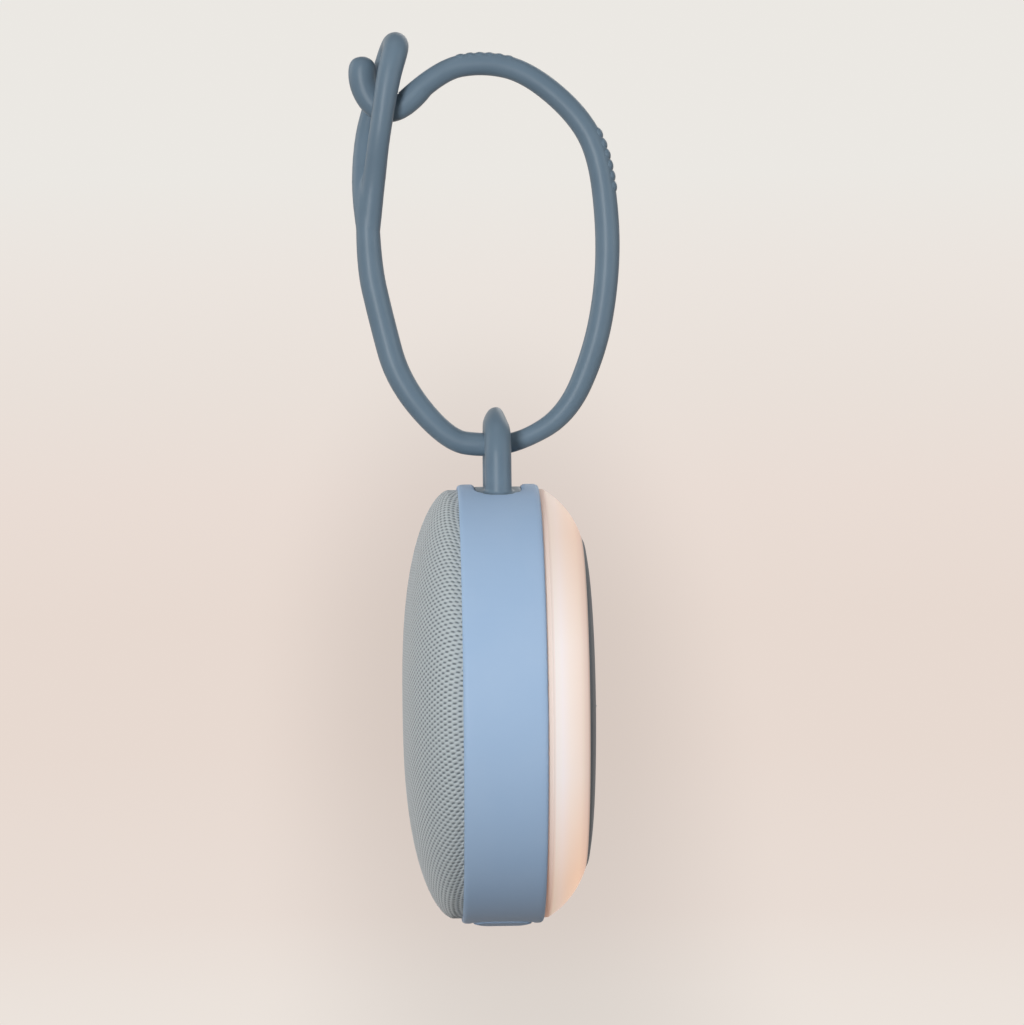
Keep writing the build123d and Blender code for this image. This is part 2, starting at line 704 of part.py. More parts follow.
with BuildPart() as speaker_basket:
    turned([
        (speaker_flange_radius, flange_back), (speaker_flange_radius, flange_front),
        (basket_mouth, flange_front), (basket_mouth, flange_back + 0.2), (basket_waist, spider_seat),
        (basket_throat, spider_seat), (basket_throat, basket_floor + 0.8),
        (gap_outer + 0.4, basket_floor + 0.8), (gap_outer + 0.4, basket_floor),
        (basket_foot, basket_floor), (basket_mouth + 0.8, flange_back),
    ])
    for x, z in speaker_screw_places:
        peg(x, z, clearance_radius, flange_back, flange_front, Mode.SUBTRACT)
    with Locations(across((spider_seat + flange_back) / 2)):
        with PolarLocations(basket_mouth - 1, 4, start_angle=45):
            Box(8, 10, flange_back - spider_seat - 2, mode=Mode.SUBTRACT)
keep("speaker_basket", speaker_basket)

screws("speaker_screws", speaker_screw_places, shank_radius, 1.7, 1.2, flange_front, baffle_back - 2)

with BuildPart() as speaker_top_plate:
    ring(gap_outer, magnet_radius - 1.5, top_plate_back, basket_floor)
keep("speaker_top_plate", speaker_top_plate)

with BuildPart() as speaker_magnet:
    ring(gap_outer + 1.4, magnet_radius, top_plate_back - magnet_thickness, top_plate_back)
keep("speaker_magnet", speaker_magnet)

with BuildPart() as speaker_yoke:
    yoke_front = top_plate_back - magnet_thickness
    ring(0, magnet_radius - 1, yoke_front - yoke_thickness, yoke_front)
    ring(0, pole_radius, yoke_front, basket_floor)
keep("speaker_yoke", speaker_yoke)

with BuildPart() as speaker_spider:
    spider_thickness = 0.35
    top_line = [(former_outer + seat, spider_seat + spider_thickness)]
    for step in range(6):
        wave = 0.8 if step % 2 == 0 else 0.0
        top_line.append((8.0 + step, spider_seat + spider_thickness + wave))
    top_line.append((16.0, spider_seat + spider_thickness))
    low_line = [(r, y - spider_thickness) for r, y in reversed(top_line)]
    turned(top_line + low_line)
keep("speaker_spider", speaker_spider)

with BuildPart() as coil_former:
    ring(former_inner, former_outer, top_plate_back - 0.8, neck + 0.4)
keep("coil_former", coil_former)

with BuildPart() as voice_coil:
    ring(former_outer, coil_outer, top_plate_back - 0.5, basket_floor + 0.5)
keep("voice_coil", voice_coil)

cone_rim = cone_radius - 1.5
with BuildPart() as speaker_cone:
    turned([
        (cone_radius, cone_top - 0.4), (cone_radius, cone_top), (cone_rim, cone_top),
        (former_outer + seat + 0.4, neck + 0.5), (former_outer + seat, neck + 0.5),
        (former_outer + seat, neck), (former_outer + seat + 0.7, neck), (cone_rim + 0.3, cone_top - 0.4),
    ])
keep("speaker_cone", speaker_cone)

cap_rim_y = neck + 1.5
with BuildPart() as dust_cap:
    with BuildSketch(section):
        with BuildLine():
            crown = TangentArc((0, neck + 3.6), (8.0, cap_rim_y), tangent=(1, 0))
            under = TangentArc((0, neck + 3.3), (7.8, cap_rim_y - 0.13), tangent=(1, 0))
            Line(crown @ 0, under @ 0)
            Line(crown @ 1, under @ 1)
        make_face()
    revolve(axis=body_axis)
keep("dust_cap", dust_cap)

roll_height = 1.6
roll_sheet = 0.4
roll_outer = basket_mouth - 0.2
roll_middle = (cone_radius - 0.3 + roll_outer) / 2
with BuildPart() as speaker_surround:
    with BuildSketch(section):
        with BuildLine():
            lip_out = Polyline(
                (roll_outer - 0.3, cone_top + 0.05), (roll_outer + 0.3, flange_front),
                (roll_outer + 1.8, flange_front), (roll_outer + 1.8, cone_top + roll_sheet),
                (roll_outer, cone_top + roll_sheet),
            )
            roll_top = ThreePointArc(
                lip_out @ 1,
                (roll_middle, cone_top + roll_sheet + roll_height),
                (cone_radius - 0.3, cone_top + roll_sheet),
            )
            lip_in = Polyline(
                roll_top @ 1, (cone_rim, cone_top + roll_sheet),
                (cone_rim, cone_top), (cone_radius, cone_top),
            )
            ThreePointArc(lip_in @ 1, (roll_middle, cone_top + roll_height), lip_out @ 0)
        make_face()
    revolve(axis=body_axis)
keep("speaker_surround", speaker_surround)

terminal_depth = neck - 1.5
with BuildPart() as speaker_terminal:
    slab(0, terminal_z, 5.0, 3.0, terminal_depth, terminal_depth + 1.2)
keep("speaker_terminal", speaker_terminal)

wire("speaker_lead", [
    (0, terminal_depth + 0.6, terminal_z - 1.5),
    (0, terminal_depth + 0.6, speaker_lead_z),
    (0, board_front + connector_height, speaker_lead_z),
], [1.2], lead_diameter)

# ================================================================ grille and fabric
fabric_edge = seam + speaker_side_straight
grille_radius = rim_radius - fabric_thickness
grille_inner = grille_radius - grille_thickness
grille_rise = speaker_side_rise - fabric_thickness


def dome_shell(outer, outer_rise, inner, inner_rise):
    """A domed cover turned about the axis, from the seam to its top, between two like profiles."""
    with BuildSketch(section) as profile:
        with BuildLine():
            top = dome_line(outer, fabric_edge, outer_rise, *speaker_form)
            under = dome_line(inner, fabric_edge, inner_rise, *speaker_form)
            Line(top @ 1, under @ 1)
            Polyline(top @ 0, (outer, seam), (inner, seam), under @ 0)
        make_face()
    revolve(profile.sketch, axis=body_axis)


with BuildPart() as fabric_cover:
    dome_shell(rim_radius, speaker_side_rise, grille_radius, grille_rise)
keep("fabric_cover", fabric_cover)

with BuildPart() as grille:
    dome_shell(grille_radius - seat, grille_rise - seat, grille_inner, grille_rise - grille_thickness)
    # skirt that centres the grille in the core
    ring(core_inner - 1.2, core_inner - 0.1, seam - 2.5, seam)
    ring(core_inner - 1.2, grille_inner + 0.2, seam, seam + 1.2)
    # the skirt stops short of the loop's block
    with Locations((0, seam, axis_z + core_inner)):
        Box(loop_block_length + 1, 5.2, 12, mode=Mode.SUBTRACT, align=(Align.CENTER, Align.MAX, Align.CENTER))
    hole_rows = 5
    row_pitch = 5.6
    with Locations(across(fabric_edge + grille_rise)):
        for row in range(1, hole_rows + 1):
            with PolarLocations(row * row_pitch, 6 * row):
                Cylinder(1.2, 3 * grille_rise, mode=Mode.SUBTRACT)
        Cylinder(1.2, 3 * grille_rise, mode=Mode.SUBTRACT)
keep("grille", grille)

# ================================================================ strap
strap_points = [(0, y, z) for y, z in strap_route]


def arc_radii(points):
    """For each corner, the largest tangent arc: 0.45 of its shorter run over the tangent of half the turn."""
    corners = [Vector(*point) for point in points]
    radii = []
    for before, here, after in zip(corners, corners[1:], corners[2:]):
        run_in = here - before
        run_out = after - here
        turn = run_in.get_angle(run_out)
        radii.append(0.45 * min(run_in.length, run_out.length) / tan(radians(turn / 2)))
    return radii


strap_radii = arc_radii(strap_points)
with BuildPart() as strap:
    with BuildLine() as strap_line:
        FilletPolyline(*strap_points, radius=strap_radii)
    with BuildSketch(Plane(origin=strap_line.line @ 0, z_dir=strap_line.line % 0)):
        Circle(strap_diameter / 2)
    sweep(path=strap_line.line)
keep("strap", strap)

eyelet_base = Plane(origin=strap_points[0], x_dir=(1, 0, 0), z_dir=(0, -1, 0))
eyelet_plane = eyelet_base.rotated((0, 0, eyelet_twist)).rotated((eyelet_tilt, 0, 0))
with BuildPart() as strap_eyelet:
    for side in (-1, 1):
        with BuildLine(eyelet_plane) as leg_line:
            FilletPolyline(
                (0, 0), (side * eyelet_half_gap, eyelet_taper),
                (side * eyelet_half_gap, eyelet_length), (0, eyelet_length),
                radius=[8.0, eyelet_half_gap - 0.1],
            )
        with BuildSketch(Plane(origin=leg_line.line @ 0, z_dir=leg_line.line % 0)):
            Circle(eyelet_leg_radius)
        sweep(path=leg_line.line)
    with Locations(strap_points[0]):
        Sphere(strap_diameter / 2)
    add(strap.part, mode=Mode.SUBTRACT)
keep("strap_eyelet", strap_eyelet)

last_run = (Vector(*strap_points[-1]) - Vector(*strap_points[-2])).normalized()
tail_points = [
    Vector(*strap_points[-1]),
    Vector(*strap_points[-1]) + last_run * tail_lead,
    Vector(0, *tail_end),
]
with BuildPart() as strap_knob:
    with BuildLine() as tail_line:
        FilletPolyline(*tail_points, radius=tail_bend_radius)
    with BuildSketch(Plane(origin=tail_line.line @ 0, z_dir=tail_line.line % 0)):
        Circle(strap_diameter / 2)
    sweep(path=tail_line.line)
    with Locations(tail_points[-1]):
        Sphere(knob_radius)
keep("strap_knob", strap_knob)

# ================================================================ export
os.makedirs("parts", exist_ok=True)
for name, piece in pieces.items():
    export_step(piece, f"parts/{name}.step")

strap_section = pi * strap_diameter**2 / 4
strap_length = sum(edge.length for edge in strap_line.edges())
print("pieces", len(pieces))
print("axis height", round(axis_z, 3))
print("strap length", round(strap_length, 1), "radii", [round(r, 1) for r in strap_radii])
print("strap volume", round(strap.part.volume, 1), "by section", round(strap_section * strap_length, 1))
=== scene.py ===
# %% [markdown]
# # A sound machine on a silicone strap
# The object is a small disc that hangs from a stroller or a hook. One side is a knitted
# speaker cover, the middle is a soft silicone belt, and the other side is a glowing lamp ring
# round a thin control cap. Its hard shapes come finished from the frame, in metres, and every
# piece made here is built straight in that frame, so nothing has to be fitted by eye.

import json
import math

import bmesh
import bpy
from mathutils import Matrix, Quaternion, Vector


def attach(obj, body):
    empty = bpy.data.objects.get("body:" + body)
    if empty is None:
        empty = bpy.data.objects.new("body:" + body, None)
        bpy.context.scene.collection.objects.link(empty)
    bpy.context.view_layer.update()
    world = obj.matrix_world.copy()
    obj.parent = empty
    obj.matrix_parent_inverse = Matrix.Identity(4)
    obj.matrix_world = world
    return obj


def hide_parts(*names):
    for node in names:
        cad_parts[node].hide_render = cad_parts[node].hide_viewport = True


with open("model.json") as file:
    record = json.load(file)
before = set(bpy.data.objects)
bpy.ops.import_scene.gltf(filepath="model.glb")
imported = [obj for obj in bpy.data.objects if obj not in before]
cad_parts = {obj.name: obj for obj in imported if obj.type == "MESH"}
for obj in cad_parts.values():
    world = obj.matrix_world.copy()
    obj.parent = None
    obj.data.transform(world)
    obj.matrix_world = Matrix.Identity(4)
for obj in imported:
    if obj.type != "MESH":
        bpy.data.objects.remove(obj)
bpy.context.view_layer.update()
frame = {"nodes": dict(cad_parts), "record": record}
scene = bpy.context.scene

# %% [markdown]
# ## Sizes
# Sizes are written in millimetres, because that is how they are read off the object, and
# turned to metres where they are used. The origin is the point that the strap hangs from. The
# disc's axis lies along Y, the speaker faces +Y and the lamp faces -Y.

# %% Sizes that several pieces share
mm = 0.001
axis_height = -127.3            # of the disc, below the hang point
belt_radius = 44.5
rim_radius = 43.4               # where the speaker cover and the lamp meet the belt
seam_depth = 6.9                # how far from the middle they meet it
lamp_end = 16.8                 # where the lamp meets the control cap
print("lowest point of the belt", round((axis_height - belt_radius) * mm, 4))

# %% [markdown]
# ## The camera
# A long lens far away keeps the disc's two sides nearly parallel, as in a catalogue picture.
# The camera looks along +X at the edge of the disc, turned by under two degrees so that it
# sees a little more of the speaker side, and it is rolled a touch because the disc doesn't hang
# quite plumb.

# %% Camera
view_height = 208.2             # what the picture's height spans at the disc
view_distance = 860.0
view_turn = math.radians(1.8)
view_roll = math.radians(0.65)
view_centre = Vector((0.0, -2.97, axis_height + 38.7)) * mm

camera_data = bpy.data.cameras.new("camera")
camera_data.lens = camera_data.sensor_width * view_distance / view_height
camera = bpy.data.objects.new("camera", camera_data)
scene.collection.objects.link(camera)
scene.camera = camera
toward_camera = Vector((-math.cos(view_turn), math.sin(view_turn), 0.0))
camera.location = view_centre + toward_camera * view_distance * mm
camera.rotation_mode = "QUATERNION"
level_view = (-toward_camera).to_track_quat("-Z", "Y")
camera.rotation_quaternion = level_view @ Quaternion((0, 0, 1), -view_roll)
print("lens", round(camera_data.lens, 1), "mm")

# %% [markdown]
# ## Nodes in one line each
# Materials and shape rules are both built from nodes. One small function adds a node, sets
# what it is told and links sockets into it, so that each material reads as a short recipe.
# Colours are written as on a screen, in sRGB hex, and one function makes them linear.

# %% Helpers for nodes and colours
def add_node(tree, kind, inputs=None, **settings):
    """Add a node. Each input, by name or number, is given a value or another node's socket."""
    node = tree.nodes.new(kind)
    for setting, value in settings.items():
        setattr(node, setting, value)
    for key, value in (inputs or {}).items():
        if isinstance(value, bpy.types.NodeSocket):
            tree.links.new(value, node.inputs[key])
        else:
            node.inputs[key].default_value = value
    return node


def colour(code):
    """Linear RGBA from an sRGB hex code."""
    parts = [int(code[i:i + 2], 16) / 255 for i in (0, 2, 4)]
    return [c / 12.92 if c <= 0.04045 else ((c + 0.055) / 1.055) ** 2.4 for c in parts] + [1.0]


def start_material(name):
    """A material with its shader and its texture coordinates."""
    material = bpy.data.materials.new(name)
    material.use_nodes = True
    tree = material.node_tree
    tree.nodes.clear()
    shader = add_node(tree, "ShaderNodeBsdfPrincipled")
    add_node(tree, "ShaderNodeOutputMaterial", {"Surface": shader.outputs[0]})
    return material, tree, shader, add_node(tree, "ShaderNodeTexCoord")


def ramp(tree, fac, stops):
    """A colour ramp from a list of (position, hex code)."""
    node = add_node(tree, "ShaderNodeValToRGB", {"Fac": fac})
    while len(node.color_ramp.elements) < len(stops):
        node.color_ramp.elements.new(0.5)
    for element, (position, code) in zip(node.color_ramp.elements, stops):
        element.position = position
        element.color = colour(code)
    return node.outputs["Color"]


print("mid grey is", round(colour("808080")[0], 3), "in linear light")

# %% [markdown]
# ## Moulded surfaces
# Most parts of the object are moulded. A moulded surface is never one flat colour: the tool's
# fine spark-eroded grain scatters light, and the compound clouds a little over several
# millimetres. So one recipe gives every moulded material two close colours in soft clouds, and
# a bump of a real grain size. Grain is given in millimetres and turned to a noise scale, which
# counts bumps per metre on Object coordinates.

# %% A recipe for moulded materials
finishes = {}
gloss_spread = 0.05             # how far the grain varies the roughness each way


def moulded(slot, name, light, dark, roughness, grain=0.35, depth=0.01, cloud=7.0, **sockets):
    """A moulded material: clouds between two colours, and a grain of a size in millimetres."""
    material, tree, shader, coords = start_material(name)
    clouds = add_node(tree, "ShaderNodeTexNoise", {"Vector": coords.outputs["Object"],
                                                   "Scale": 1 / (cloud * mm), "Detail": 3.0})
    shade = ramp(tree, clouds.outputs["Fac"], [(0.35, dark), (0.65, light)])
    tree.links.new(shade, shader.inputs["Base Color"])
    grains = add_node(tree, "ShaderNodeTexNoise", {"Vector": coords.outputs["Object"],
                                                   "Scale": 1 / (grain * mm), "Detail": 2.0})
    bump = add_node(tree, "ShaderNodeBump", {"Height": grains.outputs["Fac"], "Strength": 0.6,
                                             "Distance": depth * mm})
    tree.links.new(bump.outputs["Normal"], shader.inputs["Normal"])
    gloss = add_node(tree, "ShaderNodeMapRange", {"Value": grains.outputs["Fac"],
                                                  "To Min": roughness - gloss_spread,
                                                  "To Max": roughness + gloss_spread})
    tree.links.new(gloss.outputs["Result"], shader.inputs["Roughness"])
    for socket, value in sockets.items():
        shader.inputs[socket.replace("_", " ")].default_value = value
    finishes[slot] = material
    return material


# Liquid silicone rubber, satin from a fine-blasted tool: soft broad highlights, no mirror.
slate_silicone = moulded("strap_silicone", "silicone_rubber_slate", "6B7F8F", "667A8A", 0.4,
                         grain=0.3, depth=0.01, cloud=9.0, IOR=1.41, Specular_IOR_Level=0.3,
                         Sheen_Weight=0.05, Sheen_Roughness=0.4)
moulded("belt_silicone", "silicone_rubber_light_blue", "A6C0DE", "A3BEDD", 0.5, grain=0.3,
        depth=0.008, cloud=14.0, IOR=1.41, Specular_IOR_Level=0.2, Sheen_Weight=0.05,
        Sheen_Roughness=0.4)
# ABS with a sprayed soft-touch coat: dark, even, and dull, with hardly a reflection.
moulded("cap_plastic", "soft_touch_abs_dark_grey", "747A80", "6F757B", 0.55, grain=0.25, IOR=1.5,
        Specular_IOR_Level=0.12)
moulded("button_plastic", "soft_touch_abs_key_grey", "6E757A", "687075", 0.5, grain=0.25, IOR=1.5,
        Specular_IOR_Level=0.2)
# Plain moulded ABS, from a tool with a light texture: satin. Polished polycarbonate: bright and
# smooth, to throw the lamp's light forward. Natural nylon: waxy. All three as they leave the tool.
moulded("case_plastic", "moulded_abs_grey", "B4B8BA", "ABAFB2", 0.45, grain=0.4, IOR=1.53)
moulded("white_plastic", "glossy_polycarbonate_white", "F0F0EC", "EAEAE6", 0.2, grain=0.8,
        depth=0.003)
moulded("connector_plastic", "nylon_natural", "E6E1D2", "DDD7C6", 0.4, grain=0.3)
# Filled epoxy and sintered ferrite: black and dull, with a fine and a coarse mineral grain.
moulded("chip", "epoxy_moulding_compound", "2E2F31", "262729", 0.6, grain=0.12, depth=0.008)
moulded("ferrite", "sintered_ferrite", "3C3C3E", "303032", 0.65, grain=0.5, depth=0.03)
# Rubber: soft black sheen. Foam: open and quite matt. PVC: smooth and a little glossy.
moulded("soft_rubber", "nitrile_rubber_black", "2A2B2D", "232426", 0.5, grain=0.25)
moulded("foam", "closed_cell_foam", "3A3A3C", "2C2C2E", 0.9, grain=0.5, depth=0.15)
moulded("lead_insulation", "pvc_insulation_red", "A33A35", "94312D", 0.35, grain=0.4, depth=0.004)
# Frosted acrylic: pale, and lit from inside it would spread the light.
moulded("lens_plastic", "frosted_acrylic", "E9ECEC", "DFE3E3", 0.3, grain=0.3, depth=0.004)
print("moulded materials", len(finishes))

# %% [markdown]
# ## Metals, board, paper and film
# The pieces inside are seen only when the case is open, but each still gets what it is made of:
# rolled or plated metal with fine lines, a board with its solder mask and tracks, pressed paper
# with fibres, wound copper wire, and foil.

# %% Materials of the pieces inside
wave_per_unit = 0.314           # a wave texture of this scale has one line in each metre


def lined(slot, name, light, dark, roughness, metallic, pitch, depth, axis="Z"):
    """A material with fine lines across an axis, such as rolling marks or turns of wire."""
    material, tree, shader, coords = start_material(name)
    lines = add_node(tree, "ShaderNodeTexWave", {"Vector": coords.outputs["Object"],
                                                 "Scale": wave_per_unit / (pitch * mm),
                                                 "Distortion": 0.6},
                     bands_direction=axis)
    shade = ramp(tree, lines.outputs["Fac"], [(0.0, dark), (1.0, light)])
    tree.links.new(shade, shader.inputs["Base Color"])
    bump = add_node(tree, "ShaderNodeBump", {"Height": lines.outputs["Fac"], "Strength": 0.5,
                                             "Distance": depth * mm})
    tree.links.new(bump.outputs["Normal"], shader.inputs["Normal"])
    shader.inputs["Roughness"].default_value = roughness
    shader.inputs["Metallic"].default_value = metallic
    finishes[slot] = material


# Rolled and zinc plated steel: bright, with fine rolling marks. Enamelled wire: warm copper, seen
# turn by turn. Foil: a soft metal shine. Polyimide film: amber and smooth. Pressed paper: matt
# fibres. LED phosphor: a yellow gel.
lined("steel", "zinc_plated_steel", "C9CBCC", "BBBDBF", 0.3, 1.0, 0.15, 0.003)
lined("copper", "enamelled_copper_wire", "C97B45", "8E4E26", 0.3, 0.9, 0.2, 0.05, axis="Y")
lined("cell_pouch", "laminated_foil", "BFC1C3", "B4B6B9", 0.35, 0.9, 1.2, 0.01)
lined("former_film", "polyimide_film", "B0742A", "A3691F", 0.25, 0.0, 0.5, 0.003, axis="Y")
lined("paper_cone", "pressed_paper", "38393B", "2C2D2F", 0.8, 0.0, 0.4, 0.02, axis="Y")
lined("led", "led_phosphor", "F4E2A0", "EFD98A", 0.4, 0.0, 0.6, 0.005)

# Glass fibre board under green solder mask: smooth, with the copper tracks standing a hair proud.
board, tree, shader, coords = start_material("fibreglass_board_green")
tracks = add_node(tree, "ShaderNodeTexBrick", {"Vector": coords.outputs["Object"],
                                               "Color1": colour("1E6B3A"), "Color2": colour("1A6034"),
                                               "Mortar": colour("2C8A4C"), "Scale": 250.0,
                                               "Mortar Size": 0.012, "Brick Width": 0.9,
                                               "Row Height": 0.35})
tree.links.new(tracks.outputs["Color"], shader.inputs["Base Color"])
raised = add_node(tree, "ShaderNodeBump", {"Height": tracks.outputs["Fac"], "Strength": 0.4,
                                           "Distance": 0.03 * mm})
tree.links.new(raised.outputs["Normal"], shader.inputs["Normal"])
shader.inputs["Roughness"].default_value = 0.28
finishes["board"] = board
print("materials so far", len(finishes))

# %% [markdown]
# ## The lamp's material
# The lamp ring is milky polycarbonate with LEDs behind it. Milky plastic glows from inside,
# so it gets an emission of its own besides its plain frosted surface. Besides that glow, the
# emission's ramp along the disc's axis holds painted light and shade: it is warmest next to
# the belt and at the outer shoulder, darker at its two ends by the belt and the cap as painted
# shade, brighter deep on the ring where the lamps light it less, and palest in a painted
# highlight band on the flank between.

# %% Lamp material
lamp_glow, tree, shader, coords = start_material("milky_polycarbonate_glowing")
place = add_node(tree, "ShaderNodeSeparateXYZ", {"Vector": coords.outputs["Object"]})
depth = add_node(tree, "ShaderNodeMapRange", {"Value": place.outputs["Y"],
                                              "From Min": -seam_depth * mm, "From Max": -lamp_end * mm})
# Painted light and shade in the glow: dark ends by the belt and the cap, a pale highlight band on the
# flank, and more glow where the ring faces away from the lamps.
glow_and_painted_light = ramp(tree, depth.outputs["Result"], [
    (0.0, "80604C"), (0.14, "8C6A58"), (0.21, "A58274"), (0.29, "D2CAC8"), (0.42, "DCD2D6"),
    (0.58, "E6D3CA"), (0.80, "EFD5C5"), (0.95, "DABAAB"), (1.0, "7A5845"),
])
# Painted light by height: the ring's emission is made warmer toward its top and its bottom than
# at its middle height, brighter at the bottom, where the lamps light it less, and dimmer at the top.
height = add_node(tree, "ShaderNodeMapRange", {"Value": place.outputs["Z"],
                                               "From Min": (axis_height - belt_radius) * mm,
                                               "From Max": (axis_height + belt_radius) * mm})
painted_height_light = ramp(tree, height.outputs["Result"], [
    (0.12, "FFE4CA"), (0.36, "F3F3F3"), (0.64, "F3F3F3"), (0.88, "E2CDBA"),
])
tinted = add_node(tree, "ShaderNodeMix", {"Factor": 1.0, "A": glow_and_painted_light, "B": painted_height_light},
                  data_type="RGBA", blend_type="MULTIPLY")
shader.inputs["Base Color"].default_value = colour("CEC8C3")
tree.links.new(tinted.outputs["Result"], shader.inputs["Emission Color"])
shader.inputs["Emission Strength"].default_value = 0.73
shader.inputs["Specular IOR Level"].default_value = 0.15
shader.inputs["Roughness"].default_value = 0.5
shader.inputs["IOR"].default_value = 1.58
grains = add_node(tree, "ShaderNodeTexNoise", {"Vector": coords.outputs["Object"], "Scale": 2000.0})
bump = add_node(tree, "ShaderNodeBump", {"Height": grains.outputs["Fac"], "Strength": 0.3,
                                         "Distance": 0.005 * mm})
tree.links.new(bump.outputs["Normal"], shader.inputs["Normal"])
finishes["lamp_plastic"] = lamp_glow

# %% [markdown]
# ## The knit
# The speaker cover is a spacer knit: rows of open stitches, each row set half a stitch over
# from the next, with a light thread round each hole. Two waves that cross on the diagonals add
# up to such a staggered lattice, high in the holes and low on the threads. It drives the colour
# and the bump, and it reads the cover's own cloth map, so the stitches follow the cloth over the
# dome instead of being cut through it. Polyester yarn is dull, with a faint sheen at its edge.

# %% Knit material
cloth_span = 120.0              # how much cloth, in millimetres, one unit of the map stands for
stitch_width = 2.15             # drawn a little coarser than the real yarn, so that it still shows
stitch_height = 1.08
stitch_slant = -0.12            # how much one diagonal of the knit stands over the other


def knit_lattice(tree, cloth):
    """The knit's depth: +1 in the middle of a hole, -1 on the threads between."""
    place = add_node(tree, "ShaderNodeSeparateXYZ", {"Vector": cloth})
    turns = []
    for axis, size in (("X", stitch_width), ("Y", stitch_height)):
        turn = add_node(tree, "ShaderNodeMath", {0: place.outputs[axis],
                                                 1: 2 * math.pi * cloth_span / size},
                        operation="MULTIPLY")
        turns.append(turn.outputs[0])
    total = None
    for operation, share in (("ADD", 0.5 - stitch_slant / 2), ("SUBTRACT", 0.5 + stitch_slant / 2)):
        across = add_node(tree, "ShaderNodeMath", {0: turns[0], 1: turns[1]}, operation=operation)
        wave = add_node(tree, "ShaderNodeMath", {0: across.outputs[0]}, operation="COSINE")
        total = add_node(tree, "ShaderNodeMath", {0: wave.outputs[0], 1: share, 2: total or 0.0},
                         operation="MULTIPLY_ADD").outputs[0]
    return total


knit, tree, shader, coords = start_material("knitted_polyester_grey")
lattice = knit_lattice(tree, coords.outputs["UV"])
fuzz = add_node(tree, "ShaderNodeTexNoise", {"Vector": coords.outputs["Object"], "Scale": 4500.0,
                                             "Detail": 3.0})
patch = add_node(tree, "ShaderNodeTexNoise", {"Vector": coords.outputs["Object"], "Scale": 90.0})
mixed = add_node(tree, "ShaderNodeMath", {0: fuzz.outputs["Fac"], 1: 0.5, 2: lattice},
                 operation="MULTIPLY_ADD")
level = add_node(tree, "ShaderNodeMapRange", {"Value": mixed.outputs[0], "From Min": -0.9,
                                              "From Max": 1.4})
threads = ramp(tree, level.outputs["Result"], [
    (0.0, "C8D0D3"), (0.45, "BCC5C9"), (0.62, "A5AFB4"), (0.80, "6A747A"), (1.0, "454F55"),
])
tinted = add_node(tree, "ShaderNodeMix", {"A": threads, "B": colour("AEB8BC")}, data_type="RGBA")
faded = add_node(tree, "ShaderNodeMath", {0: patch.outputs["Fac"], 1: 0.25}, operation="MULTIPLY")
tree.links.new(faded.outputs[0], tinted.inputs["Factor"])
tree.links.new(tinted.outputs["Result"], shader.inputs["Base Color"])
sunk = add_node(tree, "ShaderNodeMath", {0: mixed.outputs[0], 1: -1.0}, operation="MULTIPLY")
bump = add_node(tree, "ShaderNodeBump", {"Height": sunk.outputs[0], "Strength": 0.8,
                                         "Distance": 0.12 * mm})
tree.links.new(bump.outputs["Normal"], shader.inputs["Normal"])
shader.inputs["Roughness"].default_value = 0.9
shader.inputs["Sheen Weight"].default_value = 0.3
shader.inputs["Sheen Roughness"].default_value = 0.5
finishes["speaker_fabric"] = knit
print("all materials", len(finishes))

# %% [markdown]
# ## Finishes for the frame's own pieces
# The record says which finish every solid has, so one loop dresses them all.

# %% Dress the frame's pieces
for part in frame["record"]["subparts"]:
    node = frame["nodes"][part["node"]]
    for place in node.material_slots:
        place.material = finishes[part["material_slot"]]

# %% [markdown]
# ## Shape rules
# A geometry node tree is a rule for a shape with named sizes. The function below adds a rule
# to an empty object and sets its sizes by their identifiers, and the next one keeps only the
# finished mesh, which rides on a body of the frame.

# %% Helpers for shape rules and pieces
def new_rule(name, **inputs):
    """An empty geometry node tree with named inputs. Gives the tree and its input sockets."""
    tree = bpy.data.node_groups.new(name, "GeometryNodeTree")
    for label, kind in inputs.items():
        tree.interface.new_socket(label, in_out="INPUT", socket_type=f"NodeSocket{kind}")
    tree.interface.new_socket("Geometry", in_out="OUTPUT", socket_type="NodeSocketGeometry")
    return tree, add_node(tree, "NodeGroupInput").outputs


def end_rule(tree, geometry, finish):
    """Close a rule: instances become real faces, smooth, in one material."""
    real = add_node(tree, "GeometryNodeRealizeInstances", {"Geometry": geometry})
    smooth = add_node(tree, "GeometryNodeSetShadeSmooth", {"Geometry": real.outputs[0]})
    painted = add_node(tree, "GeometryNodeSetMaterial", {"Geometry": smooth.outputs[0],
                                                         "Material": finish})
    add_node(tree, "NodeGroupOutput", {"Geometry": painted.outputs[0]})


def grow(name, tree, **sizes):
    """An object whose shape the rule makes, with its sizes set by identifier."""
    seed = bpy.data.objects.new(name + "_seed", bpy.data.meshes.new(name + "_seed"))
    scene.collection.objects.link(seed)
    modifier = seed.modifiers.new("rule", "NODES")
    modifier.node_group = tree
    sockets = {item.name: item.identifier for item in tree.interface.items_tree
               if item.in_out == "INPUT"}
    for label, value in sizes.items():
        modifier[sockets[label.replace("_", " ")]] = value
    return seed


def settle(name, source, body, slot):
    """Keep an object's finished shape as one plain smooth mesh that rides on a body."""
    bpy.context.view_layer.update()
    shaped = source.evaluated_get(bpy.context.evaluated_depsgraph_get())
    mesh = bpy.data.meshes.new_from_object(shaped)
    bpy.data.objects.remove(source)
    mesh.name = name
    if not mesh.materials:
        mesh.materials.append(finishes[slot])
    mesh.polygons.foreach_set("use_smooth", [True] * len(mesh.polygons))
    piece = bpy.data.objects.new(name, mesh)
    scene.collection.objects.link(piece)
    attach(piece, body)
    print(name, "faces", len(mesh.polygons))
    return piece
